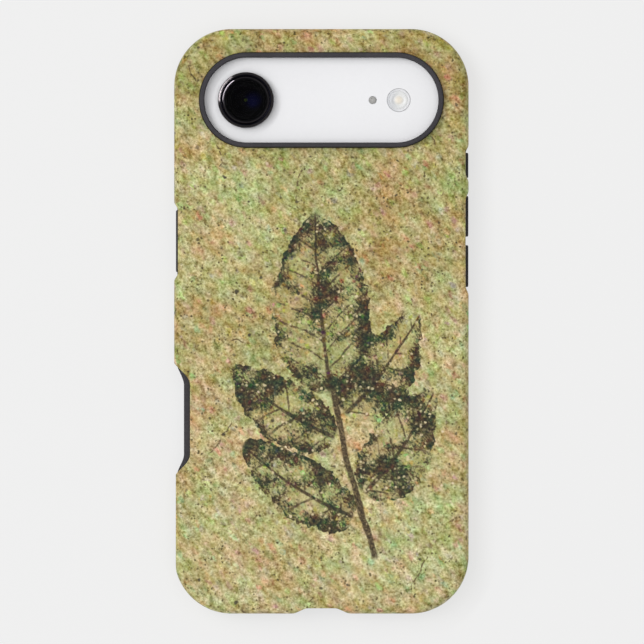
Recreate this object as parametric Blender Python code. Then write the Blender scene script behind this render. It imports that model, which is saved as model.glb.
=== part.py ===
"""A smartphone lying face down in a two-layer protective case with a printed hard back.

The frame: +Z is up, out of the printed back. +Y runs to the end with the camera window, and
+X is on the right as the back is looked at from above. The origin is under the middle of the
case, in the plane of the front lip that it rests on. Lengths are in metres.
"""

import math

import bmesh
import bpy
from mathutils import Matrix, Vector

MM = 0.001

# The phone: a thin slab with a raised camera bar across its back.
PHONE_WIDTH = 74.7 * MM
PHONE_LENGTH = 156.2 * MM
PHONE_THICKNESS = 5.64 * MM
PHONE_CORNER = 13.0 * MM
GLASS_THICKNESS = 0.6 * MM
LENS_REACH = 11.3 * MM  # screen to the top of the camera ring

# The case: a rubber liner and a hard shell over it.
CASE_WIDTH = 81.5 * MM
CASE_LENGTH = 161.8 * MM
CASE_CORNER = 15.9 * MM
LIP_HEIGHT = 1.0 * MM  # how far the screen stands off the table
LIP_DEPTH = 0.8 * MM
LINER_SIDE = 1.2 * MM
LINER_END = 1.1 * MM
LINER_BACK = 1.4 * MM
SHELL_BACK = 1.6 * MM
GAP = 0.3 * MM  # clearance wherever two pieces meet
EDGE_ROUND = 2.6 * MM  # shell, from its back to its sides
INNER_ROUND = 1.2 * MM  # the same edge inside the shell, and on the liner
POCKET_ROUND = 1.0 * MM  # the liner's inside, where the phone's back lies
SHELL_TUCK = 0.75 * MM  # how far the shell's front edge leans in
FLANGE_INSET = 0.8 * MM  # from the shell's outline to the liner's flange in front of it
FLANGE_SOFT = 0.7 * MM  # the flange's rounded front edge
LIP_REACH = 1.6 * MM  # how far the lip laps over the screen

# The camera bar, the window round it and what is set in it.
CAMERA_Y = 61.2 * MM
BAR_WIDTH = 64.2 * MM
BAR_DEPTH = 22.9 * MM
BAR_RISE = 2.6 * MM  # above the phone's back
BAR_ROUND = 1.1 * MM
WINDOW_WIDTH = 67.5 * MM
WINDOW_DEPTH = 26.2 * MM
RIM_WIDTH = 1.3 * MM
RIM_TOP = 12.5 * MM  # above the table
RIM_ROUND = 0.5 * MM
RIM_FLARE = 0.3 * MM
LENS_X = -20.9 * MM
LENS_RADIUS = 7.64 * MM
LENS_SEAT = 2.0 * MM  # depth of the camera's seat in the bar
LENS_RIM = 1.0 * MM  # width of the camera's ring
LENS_RECESS = 0.25 * MM  # cover glass below the ring
LENS_GLASS = 0.9 * MM  # thickness of the cover glass
LENS_CHAMFER = 0.1 * MM
FLASH_X = 21.4 * MM
FLASH_RADIUS = 3.16 * MM
MICROPHONE_X = 14.2 * MM
MICROPHONE_RADIUS = 1.0 * MM
TRIM_SEAT = 1.0 * MM  # depth of the seats of the flash and the microphone

# Buttons: name, side (-1 left, +1 right), middle along Y, length of the cover over it.
COVERED_BUTTONS = (
    ("power_button", -1, 22.2 * MM, 17.2 * MM),
    ("action_button", 1, 43.2 * MM, 7.0 * MM),
    ("volume_up_button", 1, 29.1 * MM, 11.3 * MM),
    ("volume_down_button", 1, 15.3 * MM, 11.6 * MM),
)
COVER_HEIGHT = 3.0 * MM
COVER_REACH = {-1: 40.3 * MM, 1: 40.7 * MM}  # from the middle plane to the cover's face
COVER_EDGE = 0.35 * MM
BUTTON_HEIGHT = 2.4 * MM
BUTTON_EDGE = 0.25 * MM
BUTTON_MARGIN = 1.0 * MM  # cover beyond the button at each end
BUTTON_PROUD = 0.35 * MM
BUTTON_DEPTH = 1.2 * MM

# Dishes sunk in the shell's sides round the covers: side, middle along Y, length, depth.
DISHES = (
    (-1, 22.1 * MM, 21.4 * MM, 1.05 * MM),
    (1, 43.7 * MM, 9.6 * MM, 0.85 * MM),
    (1, 21.7 * MM, 28.0 * MM, 0.85 * MM),
)
DISH_RAMP = 1.6 * MM

# The scoop in the left side that bares the camera control, in the shell and in the liner.
SCOOP_Y = -27.2 * MM
SHELL_SCOOP = {"length": 31.0 * MM, "depth": 4.4 * MM, "ramp": 4.4 * MM}
LINER_SCOOP = {"length": 29.0 * MM, "depth": 1.9 * MM, "ramp": 4.0 * MM}
SCOOP_ROUND = 4.5 * MM

# Below the scoop the left side is a little flatter than above it.
RELIEF = {"length": 34.0 * MM, "depth": 0.45 * MM, "ramp": 2.5 * MM}
RELIEF_Y = -56.2 * MM
CONTROL_LENGTH = 17.8 * MM
CONTROL_HEIGHT = 2.6 * MM
CONTROL_WINDOW = (19.4 * MM, 4.4 * MM)

# The bottom end: a notch in the outline, the port, two screws and two rows of sound holes.
PORT_NOTCH = {"length": 14.9 * MM, "depth": 1.5 * MM, "ramp": 3.15 * MM}
NOTCH_ROUND = 1.6 * MM
PORT_WINDOW = (13.4 * MM, 4.8 * MM)
SOUND_WINDOW = (12.0 * MM, 2.6 * MM)
SOUND_X = 16.4 * MM
SOUND_HOLES = 5
SOUND_PITCH = 2.2 * MM
SOUND_RADIUS = 0.7 * MM
SOUND_DEPTH = 1.4 * MM
PORT_WIDTH = 8.9 * MM
PORT_HEIGHT = 3.1 * MM
PORT_DEPTH = 6.6 * MM
PORT_WALL = 0.35 * MM
TONGUE = (6.6 * MM, 4.6 * MM, 0.7 * MM)
SCREW_X = 5.95 * MM
SCREW_RADIUS = 0.7 * MM
SCREW_LENGTH = 1.6 * MM
SCREW_CHAMFER = 0.1 * MM
SOCKET_SIDES = 6

# Facets of a quarter turn, for corners in plan and for rounded edges.
CORNER_STEPS = 7
SMALL_STEPS = 5
EDGE_STEPS = 5
BAR_STEPS = 3
HIDDEN_STEPS = 2
# Facets of a full turn.
LENS_STEPS = 36
TRIM_STEPS = 24
HOLE_STEPS = 12

SHARP_ANGLE = math.radians(35)  # edges that turn by more are shaded sharp
SAME_POINT = 1e-6  # points nearer than this are one point
THROUGH = 3.0 * MM  # how far a cutter runs past what it cuts

# Levels above the table, worked out from the sizes above.
SCREEN_Z = LIP_HEIGHT
MIDDLE_Z = SCREEN_Z + PHONE_THICKNESS / 2
PHONE_BACK_Z = SCREEN_Z + PHONE_THICKNESS
LINER_BACK_Z = PHONE_BACK_Z + GAP + LINER_BACK
CASE_BACK_Z = LINER_BACK_Z + GAP + SHELL_BACK
BAR_TOP_Z = PHONE_BACK_Z + BAR_RISE
LENS_TOP_Z = SCREEN_Z + LENS_REACH
FLANGE_TOP_Z = 1.2 * MM
SHELL_FRONT_Z = FLANGE_TOP_Z + GAP
SHELL_LOW_Z = 2.9 * MM
SHELL_WIDEST_Z = 5.2 * MM
POCKET_Z = PHONE_BACK_Z + GAP
POCKET_FRONT_Z = 1.7 * MM  # the pocket's side starts here, above its sloping shoulder

PHONE = (PHONE_WIDTH / 2, PHONE_LENGTH / 2, PHONE_CORNER)
SHELL = (CASE_WIDTH / 2, CASE_LENGTH / 2, CASE_CORNER)
POCKET = (PHONE[0] + GAP, PHONE[1] + GAP, PHONE_CORNER + GAP)
LINER = (POCKET[0] + LINER_SIDE, POCKET[1] + LINER_END, PHONE_CORNER + 1.4 * MM)
SHELL_INSIDE = (LINER[0] + GAP, LINER[1] + GAP, LINER[2] + GAP)
FLANGE = tuple(value - FLANGE_INSET for value in SHELL)
LIP = tuple(value - LIP_REACH for value in PHONE)

# Rounded edges of the glass plates, as steps in from the outline and away from the face.
SCREEN_EDGE = (
    (1.35 * MM, 0),
    (1.0 * MM, 0.15 * MM),
    (0.7 * MM, 0.4 * MM),
    (0.65 * MM, GLASS_THICKNESS),
)
BACK_EDGE = (
    (0.65 * MM, 0),
    (0.7 * MM, 0.2 * MM),
    (1.0 * MM, 0.45 * MM),
    (1.5 * MM, GLASS_THICKNESS),
)
FRAME_EDGE = (0.6 * MM, 0.9 * MM)  # in from the outline, and along the side


def clear_scene():
    for obj in list(bpy.data.objects):
        bpy.data.objects.remove(obj)


def finish(name, colour, roughness, metallic=0.0):
    """A plain material in linear colour."""
    material = bpy.data.materials.new(name)
    material.use_nodes = True
    shader = material.node_tree.nodes["Principled BSDF"]
    shader.inputs["Base Color"].default_value = (*colour, 1.0)
    shader.inputs["Roughness"].default_value = roughness
    shader.inputs["Metallic"].default_value = metallic
    return material


def rounded(size, inset=0.0, steps=CORNER_STEPS):
    """The outline of a rounded rectangle, anticlockwise. size is half its width, half its
    length and its corner radius, all made smaller by inset. Where a corner's radius takes up
    a whole side, as on a slot with round ends, the doubled point is left out."""
    half_width, half_length, radius = (value - inset for value in size)
    points = []
    for quarter, (to_x, to_y) in enumerate(((1, 1), (-1, 1), (-1, -1), (1, -1))):
        centre = Vector((to_x * (half_width - radius), to_y * (half_length - radius)))
        for step in range(steps + 1):
            angle = math.pi / 2 * (quarter + step / steps)
            point = centre + radius * Vector((math.cos(angle), math.sin(angle)))
            if not points or (point - points[-1]).length > SAME_POINT:
                points.append(point)
    if (points[0] - points[-1]).length < SAME_POINT:
        points.pop()
    return points


def slot(width, depth):
    """The size of a slot with round ends, as rounded() takes it."""
    return (width / 2, depth / 2, min(width, depth) / 2)


def circle(radius, steps=LENS_STEPS):
    turn = 2 * math.pi / steps
    return [radius * Vector((math.cos(turn * i), math.sin(turn * i))) for i in range(steps)]


def loft(name, stations, material=None, parent=None):
    """A closed solid through stacked outlines with as many points each. A face closes the first,
    and it is carried from each station to the next by extruding it."""
    mesh = bmesh.new()
    (outline, level), *rest = stations
    first = [mesh.verts.new((x, y, level)) for x, y in outline]
    face = mesh.faces.new(first)
    for outline, level in rest:
        face = bmesh.ops.extrude_discrete_faces(mesh, faces=[face])["faces"][0]
        for vert, (x, y) in zip(face.verts, outline):
            vert.co = (x, y, level)
    mesh.faces.new(list(reversed(first)))
    bmesh.ops.recalc_face_normals(mesh, faces=mesh.faces)
    return placed(name, mesh, material, parent)


def placed(name, mesh, material, parent):
    """An object made from a finished bmesh, shaded smooth."""
    data = bpy.data.meshes.new(name)
    mesh.to_mesh(data)
    mesh.free()
    data.shade_smooth()
    data.set_sharp_from_angle(angle=SHARP_ANGLE)
    if material:
        data.materials.append(material)
    obj = bpy.data.objects.new(name, data)
    bpy.context.scene.collection.objects.link(obj)
    obj.parent = parent
    return obj


def cutter(name, stations, location=(0, 0, 0), rotation=None):
    """A helper solid that only shapes others."""
    obj = loft(name, stations)
    obj.matrix_world = Matrix.Translation(location) @ (rotation or Matrix())
    obj.hide_render = True
    obj.display_type = "WIRE"
    return obj


def shape(obj, operation, *tools):
    """Cuts the tools from obj, or joins them to it, one Boolean each."""
    for tool in tools:
        modifier = obj.modifiers.new(tool.name, "BOOLEAN")
        modifier.operation = operation
        modifier.solver = "EXACT"
        modifier.object = tool


def fillet(size, radius, low, high, steps, outward=1):
    """Stations that round an edge by a quarter turn, from a vertical wall at low to a flat face
    at high. outward is -1 for the same curve run backwards."""
    turns = [step / steps * math.pi / 2 for step in range(steps + 1)]
    curve = [
        (rounded(size, radius * (1 - math.cos(t))), low + (high - low) * math.sin(t))
        for t in turns
    ]
    return curve[::outward]


def side_turn(side):
    """Turns a solid that is lofted along Z so that it points out of a side, its width along Y."""
    return Matrix.Rotation(side * math.pi / 2, 4, "Y") @ Matrix.Rotation(math.pi / 2, 4, "Z")


def end_turn():
    """Turns a solid that is lofted along Z so that it points out of the bottom end."""
    return Matrix.Rotation(math.pi / 2, 4, "X")


def notch_outline(length, depth, ramp, radius, beyond=THROUGH):
    """The plan of a notch: a floor at -depth between two ramps, its corners rounded, and wide
    ends past the edge that it cuts, which is at 0. Its length runs along X."""
    half, slope = length / 2, math.atan2(depth, ramp)
    reach = radius * math.tan(slope / 2)  # along the floor and along the ramp
    arc = []
    for step in range(SMALL_STEPS + 1):
        angle = slope * step / SMALL_STEPS
        arc.append(
            Vector((half - ramp - reach + radius * math.sin(angle),
                    -depth + radius * (1 - math.cos(angle))))
        )
    past = Vector((half + beyond * ramp / depth, beyond))
    right = [*arc, past]
    left = [Vector((-point.x, point.y)) for point in reversed(right)]
    return left + right


def prism(outline, low, high):
    """Stations of a block with straight sides."""
    return [(outline, low), (outline, high)]


def side_notch(name, side, middle, edge, plan):
    """A cutter for a notch through the whole height of a side, from its plan."""
    turned = Matrix.Rotation(-side * math.pi / 2, 4, "Z")
    return cutter(
        name, prism(plan, -THROUGH, CASE_BACK_Z + THROUGH), (side * edge, middle, 0), turned
    )


def end_notch(name):
    """A cutter for the notch in the bottom end."""
    plan = notch_outline(**PORT_NOTCH, radius=NOTCH_ROUND)
    return cutter(
        name,
        prism(plan, -THROUGH, CASE_BACK_Z + THROUGH),
        (0, -SHELL[1], 0),
        Matrix.Rotation(math.pi, 4, "Z"),
    )


def end_window(name, size, x=0.0, grow=0.0):
    """A cutter for a slot through both walls of the bottom end."""
    outline = rounded(slot(size[0] + grow, size[1] + grow), steps=SMALL_STEPS)
    start = (x, -(PHONE[1] + GAP / 2), MIDDLE_Z)
    return cutter(name, prism(outline, 0, 2 * THROUGH), start, end_turn())


def side_slot(name, side, middle, size, start, end, inset=0.0):
    """Stations and place of a slot-shaped block that points out of a side, from start to end
    measured from the middle plane. Its outer edge is rounded by inset."""
    outline = slot(*size)
    stations = [(rounded(outline, steps=SMALL_STEPS), 0)]
    if inset:
        stations += [
            (rounded(outline, inset * (1 - math.cos(t)), SMALL_STEPS),
             end - start - inset * (1 - math.sin(t)))
            for t in (0, math.pi / 4, math.pi / 2)
        ]
    else:
        stations.append((rounded(outline, steps=SMALL_STEPS), end - start))
    return cutter(name, stations, (side * start, middle, MIDDLE_Z), side_turn(side))


def shell_tuck(level):
    """How far the shell's side leans in below its widest line."""
    return SHELL_TUCK * ((SHELL_WIDEST_Z - level) / (SHELL_WIDEST_Z - SHELL_FRONT_Z)) ** 2


def case_shell(material, parent):
    """The hard printed shell: an open tray that snaps over the liner."""
    inside_z = LINER_BACK_Z + GAP
    stations = fillet(
        SHELL_INSIDE, INNER_ROUND, inside_z - INNER_ROUND, inside_z, HIDDEN_STEPS, outward=-1
    )
    stations.append((rounded(SHELL_INSIDE), SHELL_FRONT_Z))
    for level in (SHELL_FRONT_Z, SHELL_LOW_Z, SHELL_WIDEST_Z):
        stations.append((rounded(SHELL, shell_tuck(level)), level))
    stations += fillet(SHELL, EDGE_ROUND, CASE_BACK_Z - EDGE_ROUND, CASE_BACK_Z, EDGE_STEPS)
    shell = loft("case_shell", stations, material, parent)

    window = slot(WINDOW_WIDTH + 2 * GAP, WINDOW_DEPTH + 2 * GAP)
    tools = [
        cutter(
            "shell_window",
            prism(rounded(window), inside_z - THROUGH, CASE_BACK_Z + THROUGH),
            (0, CAMERA_Y, 0),
        )
    ]
    for number, (side, middle, length, depth) in enumerate(DISHES):
        plan = notch_outline(length, depth, DISH_RAMP, DISH_RAMP)
        tools.append(side_notch(f"dish_{number}", side, middle, SHELL[0], plan))
    for name, side, middle, length in COVERED_BUTTONS:
        size = (length + 2 * GAP, COVER_HEIGHT + 2 * GAP)
        tools.append(
            side_slot(f"shell_slot_{name}", side, middle, size, LINER[0], SHELL[0] + THROUGH)
        )
    scoop = notch_outline(**SHELL_SCOOP, radius=SCOOP_ROUND)
    relief = notch_outline(**RELIEF, radius=RELIEF["ramp"])
    tools += [
        side_notch("shell_relief", -1, RELIEF_Y, SHELL[0], relief),
        side_notch("shell_scoop", -1, SCOOP_Y, SHELL[0], scoop),
        end_notch("shell_port_notch"),
        end_window("shell_port_window", PORT_WINDOW, grow=2 * GAP),
        end_window("shell_sound_left", SOUND_WINDOW, -SOUND_X, 2 * GAP),
        end_window("shell_sound_right", SOUND_WINDOW, SOUND_X, 2 * GAP),
    ]
    shape(shell, "DIFFERENCE", *tools)
    return shell


def case_liner(material, parent):
    """The rubber liner: a tray with a front lip, a rim round the camera bar and a cover moulded
    over each side button."""
    shoulder = 1.3 * MM
    lip_lean = 0.4 * MM
    soft = 0.2 * MM
    stations = fillet(
        POCKET, POCKET_ROUND, POCKET_Z - POCKET_ROUND, POCKET_Z, HIDDEN_STEPS, outward=-1
    )
    stations += [
        (rounded(POCKET), POCKET_FRONT_Z),
        (rounded(POCKET, shoulder), LIP_DEPTH),
        (rounded(LIP), LIP_DEPTH),
        (rounded(LIP, -lip_lean), 0),
        (rounded(FLANGE, FLANGE_SOFT), 0),
        (rounded(FLANGE, soft), soft),
        (rounded(FLANGE), FLANGE_SOFT),
        (rounded(FLANGE), FLANGE_TOP_Z),
        (rounded(LINER), FLANGE_TOP_Z),
    ]
    stations += fillet(
        LINER, INNER_ROUND, LINER_BACK_Z - INNER_ROUND, LINER_BACK_Z, HIDDEN_STEPS
    )
    liner = loft("case_liner", stations, material, parent)

    rim = slot(WINDOW_WIDTH, WINDOW_DEPTH)
    opening = slot(WINDOW_WIDTH - 2 * RIM_WIDTH, WINDOW_DEPTH - 2 * RIM_WIDTH)
    boss = cutter(
        "rim_boss",
        [(rounded(rim), POCKET_Z + LINER_BACK / 2)]
        + fillet(rim, RIM_ROUND, RIM_TOP - RIM_ROUND, RIM_TOP, HIDDEN_STEPS),
        (0, CAMERA_Y, 0),
    )
    covers = [
        side_slot(
            f"cover_{name}", side, middle, (length, COVER_HEIGHT),
            POCKET[0] + LINER_SIDE / 2, COVER_REACH[side], inset=COVER_EDGE,
        )
        for name, side, middle, length in COVERED_BUTTONS
    ]
    shape(liner, "UNION", boss, *covers)

    tools = [
        cutter(
            "rim_opening",
            [
                (rounded(opening), POCKET_Z - THROUGH),
                (rounded(opening), RIM_TOP - RIM_FLARE),
                (rounded(opening, -RIM_FLARE), RIM_TOP),
                (rounded(opening, -RIM_FLARE), RIM_TOP + THROUGH),
            ],
            (0, CAMERA_Y, 0),
        )
    ]
    for name, side, middle, length in COVERED_BUTTONS:
        pocket = (length - BUTTON_MARGIN, BUTTON_HEIGHT + BUTTON_MARGIN / 2)
        depth = POCKET[0] + BUTTON_PROUD + GAP
        tools.append(
            side_slot(f"pocket_{name}", side, middle, pocket, POCKET[0] - THROUGH / 2, depth)
        )
    scoop = notch_outline(**LINER_SCOOP, radius=SCOOP_ROUND)
    tools += [
        side_notch("liner_scoop", -1, SCOOP_Y, FLANGE[0], scoop),
        side_slot(
            "control_window", -1, SCOOP_Y, CONTROL_WINDOW,
            POCKET[0] - GAP / 2, SHELL[0] + THROUGH,
        ),
        end_notch("liner_port_notch"),
        end_window("liner_port_window", PORT_WINDOW),
        end_window("liner_sound_left", SOUND_WINDOW, -SOUND_X),
        end_window("liner_sound_right", SOUND_WINDOW, SOUND_X),
    ]
    shape(liner, "DIFFERENCE", *tools)
    return liner


def screen_glass(material, parent):
    """The front glass, which lies face down just above the table."""
    stations = [(rounded(PHONE, inset), SCREEN_Z + rise) for inset, rise in SCREEN_EDGE]
    return loft("phone_screen", stations, material, parent)


def phone_frame(material, parent):
    """The metal frame, with what it holds inside it as one slab."""
    low = SCREEN_Z + GLASS_THICKNESS + GAP
    high = PHONE_BACK_Z - GLASS_THICKNESS - GAP
    inset, soft = FRAME_EDGE
    stations = []
    for step in range(HIDDEN_STEPS + 1):
        turn = math.pi / 2 * step / HIDDEN_STEPS
        stations.append(
            (rounded(PHONE, inset * (1 - math.sin(turn))), low + soft * (1 - math.cos(turn)))
        )
    stations += [(outline, low + high - level) for outline, level in reversed(stations)]
    frame = loft("phone_frame", stations, material, parent)

    tools = []
    for name, side, middle, length in COVERED_BUTTONS:
        size = (length - 2 * BUTTON_MARGIN, BUTTON_HEIGHT)
        tools.append(button_recess(name, side, middle, size))
    tools.append(button_recess("camera_control", -1, SCOOP_Y, (CONTROL_LENGTH, CONTROL_HEIGHT)))
    port = slot(PORT_WIDTH + 2 * GAP, PORT_HEIGHT + 2 * GAP)
    tools.append(end_pit("port_recess", rounded(port, steps=SMALL_STEPS), 0, PORT_DEPTH + GAP))
    for side in (-1, 1):
        outline = circle(SCREW_RADIUS + GAP / 2, HOLE_STEPS)
        tools.append(
            end_pit(f"screw_recess_{side}", outline, side * SCREW_X, SCREW_LENGTH + GAP)
        )
        for number in range(SOUND_HOLES):
            x = side * SOUND_X + (number - (SOUND_HOLES - 1) / 2) * SOUND_PITCH
            name = f"sound_hole_{side}_{number}"
            tools.append(end_pit(name, circle(SOUND_RADIUS, HOLE_STEPS), x, SOUND_DEPTH))
    shape(frame, "DIFFERENCE", *tools)
    return frame


def button_recess(name, side, middle, size):
    """A cutter for the recess that a button moves in."""
    grown = (size[0] + 2 * GAP, size[1] + 2 * GAP)
    start = PHONE[0] - BUTTON_DEPTH - GAP
    return side_slot(f"recess_{name}", side, middle, grown, start, PHONE[0] + THROUGH)


def end_pit(name, outline, x, depth):
    """A cutter for a blind hole in the phone's bottom end."""
    start = (x, -(PHONE[1] - depth), MIDDLE_Z)
    return cutter(name, prism(outline, 0, depth + THROUGH), start, end_turn())


def button(name, side, middle, size, proud, material, parent):
    """A bar set in the frame, its outer edge rounded."""
    outline = slot(*size)
    length = BUTTON_DEPTH + proud
    stations = [
        (rounded(outline, steps=SMALL_STEPS), 0),
        (rounded(outline, steps=SMALL_STEPS), length - BUTTON_EDGE),
        (rounded(outline, BUTTON_EDGE, SMALL_STEPS), length),
    ]
    bar = loft(name, stations, material, parent)
    bar.matrix_world = (
        Matrix.Translation((side * (PHONE[0] - BUTTON_DEPTH), middle, MIDDLE_Z)) @ side_turn(side)
    )
    return bar


def charging_port(material, parent):
    """The port's metal cup with the contact tongue inside it, let into the frame."""
    outer = slot(PORT_WIDTH, PORT_HEIGHT)
    cup = loft(
        "charging_port",
        prism(rounded(outer, steps=SMALL_STEPS), 0, PORT_DEPTH - GAP),
        material,
        parent,
    )
    place = Matrix.Translation((0, -(PHONE[1] - PORT_DEPTH), MIDDLE_Z)) @ end_turn()
    cup.matrix_world = place
    hollow = cutter(
        "port_hollow",
        prism(rounded(outer, PORT_WALL, SMALL_STEPS), PORT_WALL, PORT_DEPTH + THROUGH),
        place.translation,
        end_turn(),
    )
    width, length, height = TONGUE
    tongue = cutter(
        "port_tongue",
        prism(
            rounded((width / 2, height / 2, height / 4), steps=HIDDEN_STEPS),
            PORT_WALL / 2,
            length,
        ),
        place.translation,
        end_turn(),
    )
    shape(cup, "DIFFERENCE", hollow)
    shape(cup, "UNION", tongue)
    return cup


def screw(name, x, material, parent):
    """A small cap screw, its head flush with the frame, with a six-sided socket."""
    stations = [
        (circle(SCREW_RADIUS, HOLE_STEPS), 0),
        (circle(SCREW_RADIUS, HOLE_STEPS), SCREW_LENGTH - SCREW_CHAMFER),
        (circle(SCREW_RADIUS - SCREW_CHAMFER, HOLE_STEPS), SCREW_LENGTH),
    ]
    obj = loft(name, stations, material, parent)
    place = Vector((x, -(PHONE[1] - SCREW_LENGTH), MIDDLE_Z))
    obj.matrix_world = Matrix.Translation(place) @ end_turn()
    socket = cutter(
        f"socket_{name}",
        prism(circle(SCREW_RADIUS / 2, SOCKET_SIDES), SCREW_LENGTH / 2, SCREW_LENGTH + THROUGH),
        place,
        end_turn(),
    )
    shape(obj, "DIFFERENCE", socket)
    return obj


def phone_back(material, parent):
    """The back plate with the camera bar that rises from it, and the seats of what the bar
    carries."""
    low = PHONE_BACK_Z - GLASS_THICKNESS
    plate = [(rounded(PHONE, inset), low + rise) for inset, rise in BACK_EDGE]
    back = loft("phone_back", plate, material, parent)
    bar = slot(BAR_WIDTH, BAR_DEPTH)
    body = cutter(
        "camera_bar",
        [(rounded(bar), low + GLASS_THICKNESS / 2)]
        + fillet(bar, BAR_ROUND, BAR_TOP_Z - BAR_ROUND, BAR_TOP_Z, BAR_STEPS),
        (0, CAMERA_Y, 0),
    )
    shape(back, "UNION", body)
    seats = (
        ("lens_seat", LENS_X, LENS_RADIUS, LENS_SEAT, LENS_STEPS),
        ("flash_seat", FLASH_X, FLASH_RADIUS, TRIM_SEAT, TRIM_STEPS),
        ("microphone_seat", MICROPHONE_X, MICROPHONE_RADIUS, TRIM_SEAT, HOLE_STEPS),
    )
    for name, x, radius, depth, steps in seats:
        outline = circle(radius + GAP / 2, steps)
        tool = cutter(
            name, prism(outline, BAR_TOP_Z - depth, BAR_TOP_Z + THROUGH), (x, CAMERA_Y, 0)
        )
        shape(back, "DIFFERENCE", tool)
    return back


def turned(name, profile, x, material, parent, steps=LENS_STEPS):
    """A turned piece on the camera bar: profile is (radius, level) pairs round the section. A
    section that starts and ends on the axis is solid, and any other is a ring."""
    mesh = bmesh.new()
    verts = [mesh.verts.new((radius, 0, level)) for radius, level in profile]
    edges = [mesh.edges.new(pair) for pair in zip(verts, verts[1:])]
    if profile[0][0] > 0:
        edges.append(mesh.edges.new((verts[-1], verts[0])))
    bmesh.ops.spin(
        mesh, geom=verts + edges, axis=(0, 0, 1), cent=(0, 0, 0),
        angle=2 * math.pi, steps=steps, use_merge=True,
    )
    bmesh.ops.remove_doubles(mesh, verts=mesh.verts, dist=SAME_POINT)
    bmesh.ops.recalc_face_normals(mesh, faces=mesh.faces)
    obj = placed(name, mesh, material, parent)
    obj.location = (x, CAMERA_Y, 0)
    return obj


def camera(ring_material, glass_material, barrel_material, parent):
    """The camera: a metal ring, a cover glass set in it and the stepped barrel behind."""
    foot = BAR_TOP_Z - LENS_SEAT + GAP
    inner = LENS_RADIUS - LENS_RIM
    glass_top = LENS_TOP_Z - LENS_RECESS
    glass_foot = glass_top - LENS_GLASS
    round_out, round_up = 0.5 * MM, 0.15 * MM
    ring = [
        (LENS_RADIUS, foot),
        (LENS_RADIUS, LENS_TOP_Z - round_out),
        (LENS_RADIUS - round_up, LENS_TOP_Z - round_up),
        (LENS_RADIUS - round_out, LENS_TOP_Z),
        (inner, LENS_TOP_Z - LENS_CHAMFER),
        (inner, foot),
    ]
    glass = [
        (0, glass_foot),
        (inner - GAP, glass_foot),
        (inner - GAP, glass_top - LENS_CHAMFER),
        (inner - GAP - LENS_CHAMFER, glass_top),
        (0, glass_top),
    ]
    barrel_top = glass_foot - GAP
    step = 0.6 * MM
    barrel = [
        (0, foot),
        (inner - GAP, foot),
        (inner - GAP, barrel_top),
        (4.9 * MM, barrel_top),
        (4.4 * MM, barrel_top - step),
        (3.5 * MM, barrel_top - step),
        (3.1 * MM, barrel_top - 2 * step),
        (2.2 * MM, barrel_top - 2 * step),
        (1.2 * MM, barrel_top - 0.95 * MM),
        (0, barrel_top - 0.85 * MM),
    ]
    turned("camera_ring", ring, LENS_X, ring_material, parent)
    turned("camera_glass", glass, LENS_X, glass_material, parent)
    turned("camera_barrel", barrel, LENS_X, barrel_material, parent, TRIM_STEPS)


def flash_and_microphone(flash_material, grille_material, parent):
    """The flash's domed cover and the microphone's sunk grille."""
    foot = BAR_TOP_Z - TRIM_SEAT + GAP
    sunk = BAR_TOP_Z - 0.15 * MM
    flash = [
        (0, foot),
        (FLASH_RADIUS, foot),
        (FLASH_RADIUS, BAR_TOP_Z - 0.05 * MM),
        (FLASH_RADIUS * 0.8, BAR_TOP_Z + 0.1 * MM),
        (0, BAR_TOP_Z + 0.15 * MM),
    ]
    grille = [
        (0, foot),
        (MICROPHONE_RADIUS, foot),
        (MICROPHONE_RADIUS, sunk),
        (0, sunk),
    ]
    turned("flash_lens", flash, FLASH_X, flash_material, parent, TRIM_STEPS)
    turned("microphone_grille", grille, MICROPHONE_X, grille_material, parent, HOLE_STEPS)


def empty(name):
    obj = bpy.data.objects.new(name, None)
    bpy.context.scene.collection.objects.link(obj)
    return obj


def main():
    clear_scene()
    case, phone = empty("case"), empty("phone")
    white = finish("white_glass", (0.82, 0.82, 0.83), 0.25)
    metal = finish("pale_metal", (0.72, 0.72, 0.74), 0.3, 1.0)
    black_glass = finish("black_glass", (0.005, 0.005, 0.006), 0.05)
    black_metal = finish("black_metal", (0.01, 0.01, 0.011), 0.25, 1.0)
    rubber = finish("charcoal_rubber", (0.055, 0.052, 0.058), 0.6)

    case_shell(finish("printed_shell", (0.42, 0.37, 0.16), 0.4), case)
    case_liner(rubber, case)

    screen_glass(black_glass, phone)
    phone_frame(metal, phone)
    phone_back(white, phone)
    for name, side, middle, length in COVERED_BUTTONS:
        size = (length - 2 * BUTTON_MARGIN, BUTTON_HEIGHT)
        button(name, side, middle, size, BUTTON_PROUD, metal, phone)
    button("camera_control", -1, SCOOP_Y, (CONTROL_LENGTH, CONTROL_HEIGHT), 0, metal, phone)
    charging_port(metal, phone)
    screw("left_screw", -SCREW_X, metal, phone)
    screw("right_screw", SCREW_X, metal, phone)
    camera(black_metal, black_glass, black_metal, phone)
    flash_and_microphone(
        finish("flash_cover", (0.8, 0.79, 0.74), 0.2),
        finish("grille_mesh", (0.36, 0.36, 0.35), 0.6, 0.6),
        phone,
    )


main()
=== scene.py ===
# %% [markdown]
# # A phone in a printed case, laid on its face
#
# The object is a slim phone inside a two-layer protective case. The case has a dark rubber
# liner and a thin hard shell over it, printed all over with mottled stone and a fossil leaf.
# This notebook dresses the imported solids, so the first cell loads them and keeps their box.
# Every later piece has to stay inside that box.

# %% Load the solids
import math

import bmesh
import bpy
from mathutils import Matrix, Vector


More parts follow.
